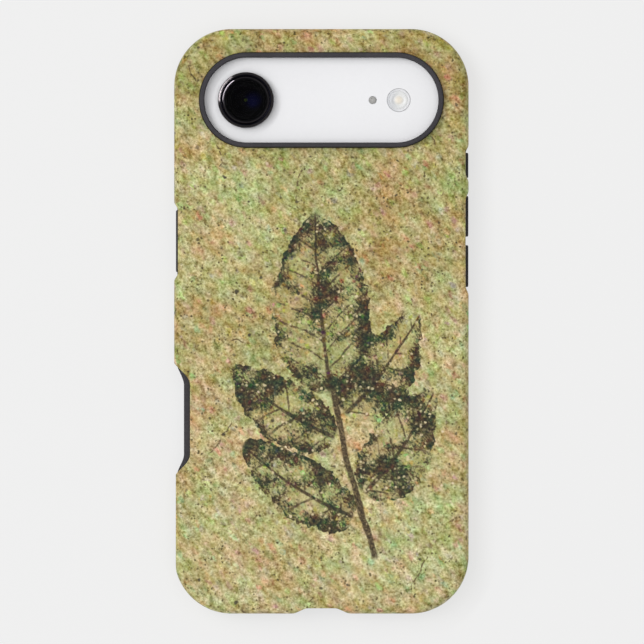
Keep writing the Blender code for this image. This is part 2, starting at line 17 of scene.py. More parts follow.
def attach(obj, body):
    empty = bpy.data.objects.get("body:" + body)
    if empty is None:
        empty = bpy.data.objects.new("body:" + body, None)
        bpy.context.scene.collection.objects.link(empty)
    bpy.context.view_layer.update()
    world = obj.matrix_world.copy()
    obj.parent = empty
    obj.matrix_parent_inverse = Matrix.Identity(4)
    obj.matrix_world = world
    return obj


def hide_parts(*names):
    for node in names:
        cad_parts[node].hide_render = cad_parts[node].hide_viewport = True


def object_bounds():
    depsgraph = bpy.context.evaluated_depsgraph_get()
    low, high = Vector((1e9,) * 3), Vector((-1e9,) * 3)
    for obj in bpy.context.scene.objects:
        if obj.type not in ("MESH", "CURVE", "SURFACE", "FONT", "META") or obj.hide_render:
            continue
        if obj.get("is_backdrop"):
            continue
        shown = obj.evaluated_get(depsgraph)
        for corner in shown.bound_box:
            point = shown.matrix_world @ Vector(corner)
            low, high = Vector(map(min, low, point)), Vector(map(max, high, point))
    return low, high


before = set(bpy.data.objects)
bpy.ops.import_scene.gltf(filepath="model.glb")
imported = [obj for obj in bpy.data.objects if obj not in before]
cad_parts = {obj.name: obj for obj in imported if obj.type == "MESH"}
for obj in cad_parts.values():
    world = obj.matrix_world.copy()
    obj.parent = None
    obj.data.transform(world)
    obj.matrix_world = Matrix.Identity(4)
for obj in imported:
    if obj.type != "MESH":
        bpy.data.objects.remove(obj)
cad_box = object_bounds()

print(len(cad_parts), "solids in", [round(side * 1000, 1) for side in cad_box[1] - cad_box[0]])

# %% [markdown]
# ## Sizes
#
# A case maker draws everything round the phone: pocket, liner, shell. So the sizes start with
# the phone and grow by the walls and gaps. They are the sizes of the solids, in millimetres,
# and each rounded plan is half its width, half its length and its corner radius. Levels are
# heights above the table, and the phone lies on the liner's front lip.

# %% Plans
GAP = 0.3
PHONE = (74.7 / 2, 156.2 / 2, 13.0)
LINER_WALL = (1.2, 1.1, 1.1)
SHELL_WALL = (1.6, 1.1, 1.2)
FLANGE_INSET = 0.8
LIP_REACH = 1.6


def grown(size, amount):
    """Sizes that are larger by one amount, or by an amount for each of them."""
    amounts = amount if isinstance(amount, tuple) else (amount,) * len(size)
    return tuple(value + extra for value, extra in zip(size, amounts))


POCKET = grown(PHONE, GAP)
LINER = grown(POCKET, LINER_WALL)
SHELL_INSIDE = grown(LINER, GAP)
SHELL = grown(SHELL_INSIDE, SHELL_WALL)
FLANGE = grown(SHELL, -FLANGE_INSET)
LIP = grown(PHONE, -LIP_REACH)
print("the shell measures", round(SHELL[0] * 2, 2), "x", round(SHELL[1] * 2, 2))

# %% Levels
# how thick each layer is, and how far the camera bar, the camera and the rim stand up
PHONE_THICKNESS = 5.64
GLASS = 0.6
LINER_BACK = 1.4
SHELL_BACK = 1.6
BAR_RISE = 2.6
LENS_REACH = 11.3
RIM_OVER_LENS = 0.2

SCREEN_Z = 1.0
MIDDLE_Z = SCREEN_Z + PHONE_THICKNESS / 2
PHONE_BACK_Z = SCREEN_Z + PHONE_THICKNESS
LINER_BACK_Z = PHONE_BACK_Z + GAP + LINER_BACK
BACK_Z = LINER_BACK_Z + GAP + SHELL_BACK
BAR_TOP_Z = PHONE_BACK_Z + BAR_RISE
LENS_TOP_Z = SCREEN_Z + LENS_REACH
RIM_TOP_Z = LENS_TOP_Z + RIM_OVER_LENS
FLANGE_TOP_Z = 1.2
SHELL_FRONT_Z = FLANGE_TOP_Z + GAP
print("the printed back lies at", round(BACK_Z, 2), "and the rim's top at", round(RIM_TOP_Z, 2))

# %% [markdown]
# ## Outlines and lofts
#
# Nearly every piece here is a moulding with a rounded rectangle for a plan. One could bevel a
# cube, but then a notch in its side would have to be cut out and would keep a hard edge. A
# stack of outlines joined by faces, a loft, gives control of each level, so a fillet is only a
# few outlines that get smaller.

# %% A rounded outline
SAME_POINT = 1e-4


def rounded(size, inset=0.0, corner=24, side=1, end=1):
    """Points round a rounded rectangle, anticlockwise, with so many steps in each corner, in
    each long side and in each end. Points that fall together are kept once."""
    half_width, half_length, radius = (value - inset for value in size)
    points = []
    for quarter, (to_x, to_y) in enumerate(((1, 1), (-1, 1), (-1, -1), (1, -1))):
        middle = Vector((to_x * (half_width - radius), to_y * (half_length - radius)))
        for step in range(corner + 1):
            turn = math.pi / 2 * (quarter + step / corner)
            points.append(middle + radius * Vector((math.cos(turn), math.sin(turn))))
        straight = (end, side)[quarter % 2]
        reach = (half_width - radius) if quarter % 2 == 0 else (half_length - radius)
        along = Vector((-to_x, 0)) if quarter % 2 == 0 else Vector((0, -to_y))
        for step in range(1, straight):
            points.append(points[-1] + along * (2 * reach / straight))
    return [p for p, q in zip(points, points[1:] + points[:1]) if (p - q).length > SAME_POINT]


def slot(width, depth):
    """The size of a slot with round ends."""
    return (width / 2, depth / 2, min(width, depth) / 2)


def circle(radius, steps=96):
    """Points round a circle, anticlockwise."""
    turn = 2 * math.pi / steps
    return [radius * Vector((math.cos(turn * i), math.sin(turn * i))) for i in range(steps)]


print(len(rounded(SHELL)), "points round the shell's plan")

# %% A loft through outlines
MM = 0.001
SHARP_DEGREES = 35


def shade_by_angle(data):
    """Smooth shading, but for edges that turn by more than the sharp angle."""
    data.shade_smooth()
    data.set_sharp_from_angle(angle=math.radians(SHARP_DEGREES))


def piece_from(name, mesh, place=None):
    """Turns a bmesh in millimetres into an object in metres."""
    data = bpy.data.meshes.new(name)
    bmesh.ops.scale(mesh, vec=(MM, MM, MM), verts=mesh.verts)
    if place is not None:
        shift = Matrix.Translation(place.translation * MM) @ place.to_3x3().to_4x4()
        bmesh.ops.transform(mesh, matrix=shift, verts=mesh.verts)
    mesh.to_mesh(data)
    mesh.free()
    shade_by_angle(data)
    made = bpy.data.objects.new(name, data)
    bpy.context.scene.collection.objects.link(made)
    return made


def loft(name, stations, place=None):
    """A closed solid through (outline, level) pairs that have as many points each."""
    mesh = bmesh.new()
    rings = [[mesh.verts.new((x, y, level)) for x, y in outline] for outline, level in stations]
    for low, high in zip(rings, rings[1:]):
        for i in range(len(low)):
            mesh.faces.new((low[i - 1], low[i], high[i], high[i - 1]))
    mesh.faces.new(list(reversed(rings[0])))
    mesh.faces.new(rings[-1])
    bmesh.ops.recalc_face_normals(mesh, faces=mesh.faces)
    return piece_from(name, mesh, place)


print("edges that turn by more than", SHARP_DEGREES, "degrees stay sharp")

# %% [markdown]
# ## Rounded edges
#
# A moulded edge is a quarter turn. Blender's Bevel would find it by angle, but it also finds
# edges that should stay crisp. Here the turn is spelt out as outlines, so each edge gets its
# own radius and its own number of steps.

# %% A fillet as outlines
def quarter_turn(steps):
    """Angles from 0 to a right angle."""
    return [math.pi / 2 * step / steps for step in range(steps + 1)]


def fillet(size, radius, low, high, steps, **counts):
    """Outlines that round an edge by a quarter turn, from a wall at low to a face at high."""
    return [
        (rounded(size, radius * (1 - math.cos(t)), **counts), low + (high - low) * math.sin(t))
        for t in quarter_turn(steps)
    ]


def mouth(size, low, face, high, flare, bend, wide, **counts):
    """Outlines of a cutter that widens where it leaves a face: a little at first, up to bend
    times the flare, and then faster, to wide times the flare."""
    return [
        (rounded(size, **counts), low),
        (rounded(size, **counts), face - flare),
        (rounded(size, -flare * bend, **counts), face - flare * bend),
        (rounded(size, -flare * wide, **counts), face + flare * (wide - 1)),
        (rounded(size, -flare * wide, **counts), high),
    ]


print("a quarter turn in 5 steps rises", [round(math.sin(turn), 2) for turn in quarter_turn(5)])

# %% [markdown]
# ## Cutting and joining
#
# Windows and slots are easiest as Booleans. Left on the object they would be worked out again
# for each render, and the edges that they cut would stay smooth-shaded. So each cut is applied
# at once, and the edges are marked sharp again by angle.

# %% Booleans, applied at once
def carve(body, operation, tools):
    """Cuts the tools from the body, or joins them to it, and removes them."""
    for tool in tools:
        step = body.modifiers.new(tool.name, "BOOLEAN")
        step.operation = operation
        step.solver = "EXACT"
        step.object = tool
    seen = body.evaluated_get(bpy.context.evaluated_depsgraph_get())
    carved = bpy.data.meshes.new_from_object(seen)
    body.modifiers.clear()
    body.data = carved
    for tool in tools:
        bpy.data.objects.remove(tool)
    shade_by_angle(carved)
    return body


def even_normals(body):
    """Lets the large flat faces decide the shading where they meet narrow fillets."""
    step = body.modifiers.new("even_normals", "WEIGHTED_NORMAL")
    step.keep_sharp = True
    step.weight = 80


print("pieces can be cut and joined")

# %% [markdown]
# ## Notches that are part of the outline
#
# The shell dips in round its button covers, has a deep scoop for the thumb at the left and a
# shallow notch at the port. Each is a trapezium in plan with soft corners. A smooth minimum
# and maximum bend the outline itself, so the arrises come out soft, as on a moulding.

# %% Soft trapezium notches
SCOOP_Y = -27.2
SCOOP_DEPTH = 4.4
DISH_DEPTH = {-1: 1.05, 1: 0.85}
DISH_EDGE = (1.6, 0.35)
ARRIS = 0.3

# side (-1 left, +1 right), middle along Y, length, depth, ramp, softness
SHELL_NOTCHES = (
    (-1, 22.1, 21.4, DISH_DEPTH[-1], *DISH_EDGE),
    (1, 43.7, 9.6, DISH_DEPTH[1], *DISH_EDGE),
    (1, 21.7, 28.0, DISH_DEPTH[1], *DISH_EDGE),
    (-1, SCOOP_Y, 31.0, SCOOP_DEPTH, 4.4, 1.6),
    (-1, -56.2, 34.0, 0.45, 2.5, 0.3),
)
LINER_NOTCHES = ((-1, SCOOP_Y, 29.0, 1.9, 4.0, 0.5),)
# length, depth, ramp and softness of the notch in the middle of the bottom end
PORT_NOTCH = (14.9, 1.5, 3.15, 0.35)


def soft_min(a, b, width):
    """The smaller of two numbers, with a rounded corner where they are nearly equal."""
    near = max(width - abs(a - b), 0.0) / width
    return min(a, b) - near * near * width / 4


def notch_depth(offset, length, depth, ramp, soft):
    """How deep a notch is at this distance from its middle. It is negative beyond its ends."""
    slope = depth / ramp
    return soft_min(depth, (length / 2 - abs(offset)) * slope, soft)


def notched(outline, size, notches, lift=0.0):
    """The outline with its notches bent into it. lift rounds a notch off at the top."""
    bent = []
    for point in outline:
        x, y = point
        for side, middle, length, depth, ramp, soft in notches:
            if side * x > 0 and abs(y - middle) < length:
                wall = size[0] - notch_depth(y - middle, length, depth, ramp, soft) - lift
                x = side * soft_min(side * x, wall, ARRIS)
        if y < 0 and abs(x) < PORT_NOTCH[0]:
            wall = SHELL[1] - notch_depth(x, *PORT_NOTCH) - lift
            y = -soft_min(-y, wall, ARRIS)
        bent.append(Vector((x, y)))
    return bent


print("the scoop leaves the back", round(SHELL[0] - SCOOP_DEPTH, 2), "from the middle")

# %% [markdown]
# ## Slots that point sideways
#
# Button covers, their slots and the port all point out of a side or out of the bottom end.
# They are lofted upright like the rest and then turned, which keeps one way of modelling.

# %% Turned slots
# name, side, middle along Y, length of the cover
BUTTONS = (
    ("power_button", -1, 22.2, 17.2),
    ("action_button", 1, 43.2, 7.0),
    ("volume_up_button", 1, 29.1, 11.3),
    ("volume_down_button", 1, 15.3, 11.6),
)
COVER_HEIGHT = 3.0
COVER_REACH = {-1: 40.3, 1: 40.7}
BUTTON_HEIGHT = 2.4
# how much shorter a button is than its cover
BUTTON_SHORTER = 2


def out_of_side(side, start, middle):
    """The place of a piece that points out of a side, at this height along it."""
    turn = Matrix.Rotation(side * math.pi / 2, 4, "Y") @ Matrix.Rotation(math.pi / 2, 4, "Z")
    return Matrix.Translation((side * start, middle, MIDDLE_Z)) @ turn


def out_of_end(start, x=0.0):
    """The place of a piece that points out of the bottom end."""
    return Matrix.Translation((x, -start, MIDDLE_Z)) @ Matrix.Rotation(math.pi / 2, 4, "X")


def bar(name, width, height, length, place, edge=0.0, corner=8):
    """A slot-shaped bar from 0 to length, with its outer edge rounded."""
    size = slot(width, height)
    stations = [(rounded(size, corner=corner), 0.0)]
    if edge > 0:
        stations += fillet(size, edge, length - edge, length, 5, corner=corner)
    else:
        stations.append((rounded(size, corner=corner), length))
    return loft(name, stations, place)


def flared(name, width, height, face, length, place):
    """A cutter for a slot, its mouth eased at the face that it leaves by."""
    stations = mouth(slot(width, height), 0.0, face, length, 0.25, 0.35, 1.6, corner=8)
    return loft(name, stations, place)


print(len(BUTTONS), "buttons have covers")

# %% [markdown]
# ## The printed shell
#
# The shell is the hard outer layer: a thin tray that snaps over the liner, with a generous
# radius from its back to its sides and sides that lean in a little towards the front. It could
# be a box with bevels, but its notches run round that radius. So the outside is lofted as one
# full block with the notches in its outline.

# %% The shell's outside
EDGE_ROUND = 2.6
EDGE_STEPS = 18
WIDEST_Z = 5.2
SHELL_TUCK = 0.75
FRONT_BEVEL = 0.12
NOTCH_ROUND = 0.45
SIDE_LEVELS = [SHELL_FRONT_Z + FRONT_BEVEL, 1.8, 2.2, 2.8, 3.4, 4.0, 4.6, WIDEST_Z, 6.0, 6.8]
SHELL_DIVISIONS = {"corner": 28, "side": 300, "end": 110}


def lean_in(level, radius):
    """How far a rounded back edge of this radius has come in at a level."""
    rise = max(level - (BACK_Z - radius), 0.0) / radius
    return radius * (1 - math.sqrt(max(1 - rise * rise, 0.0)))


def shell_inset(level):
    """How far the outside leans in at a level, below its widest line and above it."""
    if level < WIDEST_Z:
        return SHELL_TUCK * ((WIDEST_Z - level) / (WIDEST_Z - SHELL_FRONT_Z)) ** 2
    return lean_in(level, EDGE_ROUND)


def shell_outside():
    edge_foot = BACK_Z - EDGE_ROUND
    levels = SIDE_LEVELS + [edge_foot + EDGE_ROUND * math.sin(t) for t in quarter_turn(EDGE_STEPS)]
    front = rounded(SHELL, shell_inset(SHELL_FRONT_Z) + FRONT_BEVEL, **SHELL_DIVISIONS)
    stations = [(notched(front, SHELL, SHELL_NOTCHES, FRONT_BEVEL), SHELL_FRONT_Z)]
    for level in levels:
        outline = rounded(SHELL, shell_inset(level), **SHELL_DIVISIONS)
        lift = lean_in(level, NOTCH_ROUND)
        stations.append((notched(outline, SHELL, SHELL_NOTCHES, lift), level))
    return loft("printed_shell", stations)


shell = shell_outside()
print("shell outside:", len(shell.data.polygons), "faces")

# %% [markdown]
# ## Cutters for the windows
#
# The shell and the liner have the same openings, one inside the other: the camera window, and
# at the bottom the port and two slots for sound. So each cutter is made by a function that is
# told how much room to leave. A moulded opening has no razor edge, and every cutter widens at
# the face that it leaves by.

# %% Window cutters
CAMERA_Y = 61.2
WINDOW = slot(67.5, 26.2)
WINDOW_GAP = 0.12
PORT_WINDOW = (13.4, 4.8)
SOUND_WINDOW = (12.0, 2.6)
SOUND_X = 16.4
# where the cutters of the bottom end start, just clear of the phone
END_START = PHONE[1] + 0.15


def on_bar(x):
    """The place of a piece on the camera bar."""
    return Matrix.Translation((x, CAMERA_Y, 0))


def window_tool(size, low, face, flare):
    """A cutter for the camera window."""
    return loft("window", mouth(size, low, face, face + 6, flare, 0.3, 1.5, corner=40), on_bar(0))


def end_slots(face, grow):
    """Cutters for the port's window and for the two slots for sound."""
    tools = []
    for name, (width, height), x in (
        ("port", PORT_WINDOW, 0.0),
        ("sound_left", SOUND_WINDOW, -SOUND_X),
        ("sound_right", SOUND_WINDOW, SOUND_X),
    ):
        wall = min(face, SHELL[1] - PORT_NOTCH[1]) if name == "port" else face
        place = out_of_end(END_START, x)
        tools.append(flared(name, width + grow, height + grow, wall - END_START, 8, place))
    return tools


print("the camera window is", 2 * WINDOW[0], "x", 2 * WINDOW[1])

# %% [markdown]
# ## The shell's inside
#
# A hard shell is a thin tray. Blender's Solidify could thicken a skin, but it would push the
# dishes and the scoop through to the inside as dents. So the room for the liner is a solid of
# its own, cut out from below, and where it meets the scoop it opens the side by itself.

# %% Hollow the shell
INNER_ROUND = 1.2


def shell_room():
    """The space for the liner."""
    top = LINER_BACK_Z + GAP
    counts = {"corner": 28, "side": 1, "end": 1}
    stations = [(rounded(SHELL_INSIDE, **counts), -2.0)]
    stations += fillet(SHELL_INSIDE, INNER_ROUND, top - INNER_ROUND, top, 5, **counts)
    return loft("shell_room", stations)


def shell_slots():
    """A slot for each button cover, eased where it leaves the floor of its dish."""
    tools = []
    for name, side, middle, length in BUTTONS:
        face = SHELL[0] - DISH_DEPTH[side] - LINER[0]
        place = out_of_side(side, LINER[0], middle)
        room = 2 * GAP
        tools.append(flared(f"slot_{name}", length + room, COVER_HEIGHT + room, face, 6, place))
    return tools


carve(shell, "DIFFERENCE", [shell_room()])
carve(
    shell,
    "DIFFERENCE",
    [window_tool(grown(WINDOW, WINDOW_GAP), LINER_BACK_Z - 3, BACK_Z, 0.1)]
    + shell_slots() + end_slots(SHELL[1], 2 * GAP),
)
even_normals(shell)
print("shell carved:", len(shell.data.polygons), "faces")

# %% [markdown]
# ## The rubber liner
#
# Under the shell sits a soft liner in charcoal rubber. It grips the phone, stands proud of the
# screen as a lip, covers the side buttons and rises through the window as a rim round the
# camera bar. It is one moulding, so it is one block with the rim and the covers joined on, and
# the phone's room cut out of it last.

# %% The liner's block
FLANGE_SOFT = 0.7
FLANGE_BEVEL = 0.08
RIM_FOOT = 0.7
RIM_ROUND = 0.45
COVER_FOOT = 0.6
COVER_EDGE = 0.35
LINER_DIVISIONS = {"corner": 24, "side": 260, "end": 100}


def liner_block():
    """The flange at the front with its soft edge, and the wall and back that the shell hides."""
    stations = []
    for turn in quarter_turn(5):
        outline = rounded(FLANGE, FLANGE_SOFT * (1 - math.sin(turn)), **LINER_DIVISIONS)
        stations.append((outline, FLANGE_SOFT * (1 - math.cos(turn))))
    stations.append((rounded(FLANGE, **LINER_DIVISIONS), FLANGE_TOP_Z - FLANGE_BEVEL))
    stations.append((rounded(FLANGE, FLANGE_BEVEL, **LINER_DIVISIONS), FLANGE_TOP_Z))
    stations.append((rounded(LINER, **LINER_DIVISIONS), FLANGE_TOP_Z))
    stations += fillet(
        LINER, INNER_ROUND, LINER_BACK_Z - INNER_ROUND, LINER_BACK_Z, 6, **LINER_DIVISIONS
    )
    bent = [(notched(outline, FLANGE, LINER_NOTCHES), level) for outline, level in stations]
    return loft("rubber_liner", bent)


def camera_rim():
    """The oval rim that stands up round the camera bar."""
    stations = [(rounded(WINDOW, corner=40), LINER_BACK_Z - RIM_FOOT)]
    stations += fillet(WINDOW, RIM_ROUND, RIM_TOP_Z - RIM_ROUND, RIM_TOP_Z, 6, corner=40)
    return loft("rim", stations, on_bar(0))


def cover(name, side, middle, length):
    """A button cover, rooted a little way into the liner's wall."""
    start = POCKET[0] + COVER_FOOT
    place = out_of_side(side, start, middle)
    return bar(f"cover_{name}", length, COVER_HEIGHT, COVER_REACH[side] - start, place, COVER_EDGE)


liner = liner_block()
carve(liner, "UNION", [camera_rim()] + [cover(*button) for button in BUTTONS])
print("liner with rim and covers:", len(liner.data.polygons), "faces")

# %% [markdown]
# ## The liner's openings
#
# The pocket has the phone's form with a lip that laps over the screen. The lip's inner edge is
# soft, because a finger slides over it. The pocket is lofted from its own profile and cut out,
# and hollows behind the covers let each of them press on its button.

# %% The phone's room
RIM_WIDTH = 1.3
RIM_FLARE = 0.3
POCKET_ROUND = 1.0
CONTROL_WINDOW = (19.4, 4.4)
CONTROL_START = 37.5
CONTROL_FACE = 38.05
# inset from the lip's outline and level, from below the lip to the screen
LIP_PROFILE = ((-0.7, -2.0), (-0.7, 0.0), (-0.3, 0.12), (-0.08, 0.35), (0.0, 0.8))
# the same for the pocket, from the screen to where its wall is upright
SHOULDER = ((1.3, 0.8), (0.4, 1.1), (0.0, 1.7))


def phone_room():
    """The pocket, with the lip that holds the screen's edge."""
    top = PHONE_BACK_Z + GAP
    stations = [(rounded(LIP, inset), level) for inset, level in LIP_PROFILE]
    stations += [(rounded(POCKET, inset), level) for inset, level in SHOULDER]
    stations += fillet(POCKET, POCKET_ROUND, top - POCKET_ROUND, top, 5)
    return loft("phone_room", stations)


def button_pocket(name, side, middle, length):
    """The hollow behind a cover, a little shorter than the cover and deeper than the wall."""
    place = out_of_side(side, POCKET[0] - 1.5, middle)
    return bar(f"pocket_{name}", length - 1.0, BUTTON_HEIGHT + 0.5, 2.15, place)


def control_window():
    """The opening in the scoop for the one control that has no cover."""
    place = out_of_side(-1, CONTROL_START, SCOOP_Y)
    return flared("control_window", *CONTROL_WINDOW, CONTROL_FACE - CONTROL_START, 6, place)


opening = grown(WINDOW, -RIM_WIDTH)
carve(liner, "DIFFERENCE", [phone_room()])
carve(
    liner,
    "DIFFERENCE",
    [window_tool(opening, PHONE_BACK_Z - 2, RIM_TOP_Z, RIM_FLARE), control_window()]
    + [button_pocket(*button) for button in BUTTONS] + end_slots(LINER[1], 0.0),
)
even_normals(liner)
print("liner carved:", len(liner.data.polygons), "faces")

# %% [markdown]
# ## The phone's screen and frame
#
# Little of the phone shows: the camera bar through the rim, a strip of its side in the scoop,
# its bottom end through three slots, and the screen from underneath. All of it is still made
# whole, because the case is meant to come off. The screen is a sheet of glass with a pillowed
# edge. The frame is a band of metal with both edges rounded, and it is filled in, because what
# the phone holds can't be seen.

# %% The screen
PLATE_INSET = 0.65
SCREEN_ROUND = 0.7
EARPIECE = slot(11.0, 0.5)
EARPIECE_Y = 75.6


def screen():
    """The front glass, and the slit for the earpiece."""
    stations = []
    for turn in quarter_turn(6):
        outline = rounded(PHONE, PLATE_INSET + SCREEN_ROUND * (1 - math.sin(turn)))
        stations.append((outline, SCREEN_Z + GLASS * (1 - math.cos(turn))))
    glass = loft("front_glass", stations)
    slit = [(rounded(EARPIECE, corner=8), level) for level in (0.5, 1.35)]
    cutter = loft("earpiece", slit, Matrix.Translation((0, EARPIECE_Y, 0)))
    return carve(glass, "DIFFERENCE", [cutter])


front_glass = screen()
print("front glass:", len(front_glass.data.polygons), "faces")

# %% The frame
FRAME_Z = (1.9, 5.74)
FRAME_ROUND = (0.6, 0.9)
RECESS_START = PHONE[0] - 1.5
RECESS_LENGTH = 4.5
CONTROL_KEY = (17.8, 2.6)
PORT_CUP = (8.9, 3.1)
SCREW_X = 5.95
SOUND_HOLES = 5
SOUND_PITCH = 2.2


def metal_frame():
    """The frame with what it holds as one slab, rounded alike at the front and the back."""
    low, high = FRAME_Z
    inward, along = FRAME_ROUND
    half = []
    for turn in quarter_turn(6):
        outline = rounded(PHONE, inward * (1 - math.sin(turn)))
        half.append((outline, low + along * (1 - math.cos(turn))))
    mirrored = [(outline, low + high - level) for outline, level in reversed(half)]
    return loft("metal_frame", half + mirrored)


def pit(name, radius, depth, x):
    """A round cutter that reaches this deep into the bottom end."""
    stations = [(circle(radius, 32), level) for level in (0, depth + 3)]
    return loft(name, stations, out_of_end(PHONE[1] - depth, x))


def frame_recesses():
    """Room for the buttons, the port, two screws and the sound holes."""
    room = 2 * GAP
    tools = [
        bar(f"recess_{name}", length - BUTTON_SHORTER + room, BUTTON_HEIGHT + room,
            RECESS_LENGTH, out_of_side(side, RECESS_START, middle))
        for name, side, middle, length in BUTTONS
    ]
    control = grown(CONTROL_KEY, room)
    place = out_of_side(-1, RECESS_START, SCOOP_Y)
    tools.append(bar("recess_control", *control, RECESS_LENGTH, place))
    tools.append(bar("recess_port", *grown(PORT_CUP, room), 9.9, out_of_end(PHONE[1] - 6.9)))
    for side in (-1, 1):
        tools.append(pit(f"recess_screw_{side}", 0.85, 1.9, side * SCREW_X))
        for hole in range(SOUND_HOLES):
            x = side * SOUND_X + (hole - SOUND_HOLES // 2) * SOUND_PITCH
            tools.append(pit(f"hole_{side}_{hole}", 0.7, 1.4, x))
    return tools


side_frame = carve(metal_frame(), "DIFFERENCE", frame_recesses())
even_normals(side_frame)
print("frame:", len(side_frame.data.polygons), "faces")

# %% [markdown]
# ## The white back and its bar
#
# The back is a plate of white glass from which a wide bar rises, and the bar carries the
# camera, the flash and a microphone. Of all this only the bar shows, and it fills the liner's
# rim. Plate and bar are joined, and three round seats are cut in the bar.

# %% The back with the camera bar
BACK_ROUND = 0.85
BAR = slot(64.84, 23.54)
BAR_EDGE = 0.12
LENS_X = -20.9
LENS_RADIUS = 7.64
FLASH_X = 21.4
FLASH_RADIUS = 3.16
MICROPHONE_X = 14.2
MICROPHONE_RADIUS = 1.0


def back_plate():
    """The back's plate with the bar on it."""
    low = PHONE_BACK_Z - GLASS
    plate = []
    for turn in quarter_turn(6):
        outline = rounded(PHONE, PLATE_INSET + BACK_ROUND * (1 - math.cos(turn)))
        plate.append((outline, low + GLASS * math.sin(turn)))
    raised = [(rounded(BAR, corner=40), low + 0.3)]
    raised += fillet(BAR, BAR_EDGE, BAR_TOP_Z - BAR_EDGE, BAR_TOP_Z, 4, corner=40)
    return carve(loft("white_back", plate), "UNION", [loft("bar", raised, on_bar(0))])


def seat(name, x, radius, depth):
    """A cutter for a round seat in the bar, with an eased mouth."""
    stations = [
        (circle(radius + 0.08), BAR_TOP_Z - depth),
        (circle(radius + 0.08), BAR_TOP_Z - 0.06),
        (circle(radius + 0.14), BAR_TOP_Z),
        (circle(radius + 0.14), BAR_TOP_Z + 2),
    ]
    return loft(f"seat_{name}", stations, on_bar(x))


seats = [
    seat("camera", LENS_X, LENS_RADIUS, 2.0),
    seat("flash", FLASH_X, FLASH_RADIUS, 1.0),
    seat("microphone", MICROPHONE_X, MICROPHONE_RADIUS, 1.0),
]
white_back = carve(back_plate(), "DIFFERENCE", seats)
even_normals(white_back)
print("back:", len(white_back.data.polygons), "faces")

# %% [markdown]
# ## Buttons, port and screws
#
# The buttons are small bars with rounded faces, and covers hide all but the camera control.
# At the bottom, between two tiny screws, a steel cup holds a thin tongue with the contacts.
# Cup and tongue are two pieces, because one is bare metal and the other black plastic.

# %% The buttons
KEY_FOOT = PHONE[0] - 1.2
KEY_LENGTH = 1.55
KEY_EDGE = 0.25
CONTROL_LENGTH = 1.2
CONTROL_EDGE = 0.18


def side_buttons():
    """A key for each button, by name, and the flatter one of the camera control."""
    made = {}
    for name, side, middle, length in BUTTONS:
        sizes = (length - BUTTON_SHORTER, BUTTON_HEIGHT, KEY_LENGTH)
        place = out_of_side(side, KEY_FOOT, middle)
        made[name] = bar(f"{name}_key", *sizes, place, KEY_EDGE, corner=10)
    sizes = (*CONTROL_KEY, CONTROL_LENGTH)
    place = out_of_side(-1, KEY_FOOT, SCOOP_Y)
    made["camera_control"] = bar("camera_control_key", *sizes, place, CONTROL_EDGE, corner=10)
    return made


keys = side_buttons()
print(len(keys), "keys")

# %% The port and the screws
PORT_START = PHONE[1] - 6.6
PORT_LENGTH = 6.3
PORT_WALL = 0.35
TONGUE = (3.3, 0.35, 0.17)
# inset and level
TONGUE_PROFILE = ((0.0, 0.0), (0.0, 4.1), (0.08, 4.25))
SCREW_RADIUS = 0.7
SCREW_LENGTH = 1.6
# distance in from the screw's radius, and level
SCREW_PROFILE = ((0.0, 0.0), (0.0, 1.48), (0.04, 1.57), (0.1, SCREW_LENGTH))
SOCKET_LOBES = 5


def port():
    """The port's metal cup, and the tongue that carries the contacts."""
    cup = bar("port_cup", *PORT_CUP, PORT_LENGTH, out_of_end(PORT_START), 0.08, corner=10)
    inside = grown(PORT_CUP, -2 * PORT_WALL)
    hollow = bar("hollow", *inside, 9, out_of_end(PORT_START + PORT_WALL), corner=10)
    carve(cup, "DIFFERENCE", [hollow])
    stations = [(rounded(TONGUE, inset, corner=3), level) for inset, level in TONGUE_PROFILE]
    return cup, loft("port_tongue", stations, out_of_end(PORT_START + PORT_WALL + 0.01))


def screw(name, x):
    """A small screw with a lobed socket in its head."""
    place = out_of_end(PHONE[1] - SCREW_LENGTH, x)
    stations = [(circle(SCREW_RADIUS - inset, 40), level) for inset, level in SCREW_PROFILE]
    lobes = [
        (0.34 + 0.07 * math.cos(SOCKET_LOBES * turn)) * Vector((math.cos(turn), math.sin(turn)))
        for turn in (2 * math.pi * i / 60 for i in range(60))
    ]
    head = loft(name, stations, place)
    return carve(head, "DIFFERENCE", [loft("socket", [(lobes, 0.8), (lobes, 3)], place)])


port_cup, port_tongue = port()
screws = {
    "left_screw": screw("screw_left", -SCREW_X),
    "right_screw": screw("screw_right", SCREW_X),
}
print("the port and", len(screws), "screws")

# %% [markdown]
# ## What is set in the camera bar
#
# The camera, the flash and the microphone are turned parts. A turned part is drawn as half a
# section and spun round its axis, which gives every step and bevel its exact radius. The
# bevels matter most here: on black, they are all that catches the light.

# %% Turned pieces
def turned(name, profile, x, steps=120):
    """Spins (radius, level) pairs round an upright axis on the camera bar."""
    mesh = bmesh.new()
    verts = [mesh.verts.new((radius, 0, level)) for radius, level in profile]
    edges = [mesh.edges.new(pair) for pair in zip(verts, verts[1:])]
    if profile[0][0] > 0:
        edges.append(mesh.edges.new((verts[-1], verts[0])))
    bmesh.ops.spin(mesh, geom=verts + edges, axis=(0, 0, 1), cent=(0, 0, 0),
                   angle=2 * math.pi, steps=steps, use_merge=True)
    bmesh.ops.remove_doubles(mesh, verts=mesh.verts, dist=SAME_POINT)
    bmesh.ops.recalc_face_normals(mesh, faces=mesh.faces)
    return piece_from(name, mesh, on_bar(x))


CAMERA_FOOT = BAR_TOP_Z - 1.7
RING_INNER = LENS_RADIUS - 1.0
GLASS_TOP = LENS_TOP_Z - 0.25
BARREL_TOP = GLASS_TOP - 1.2
print("the camera stands", round(LENS_TOP_Z - BAR_TOP_Z, 2), "above the bar")

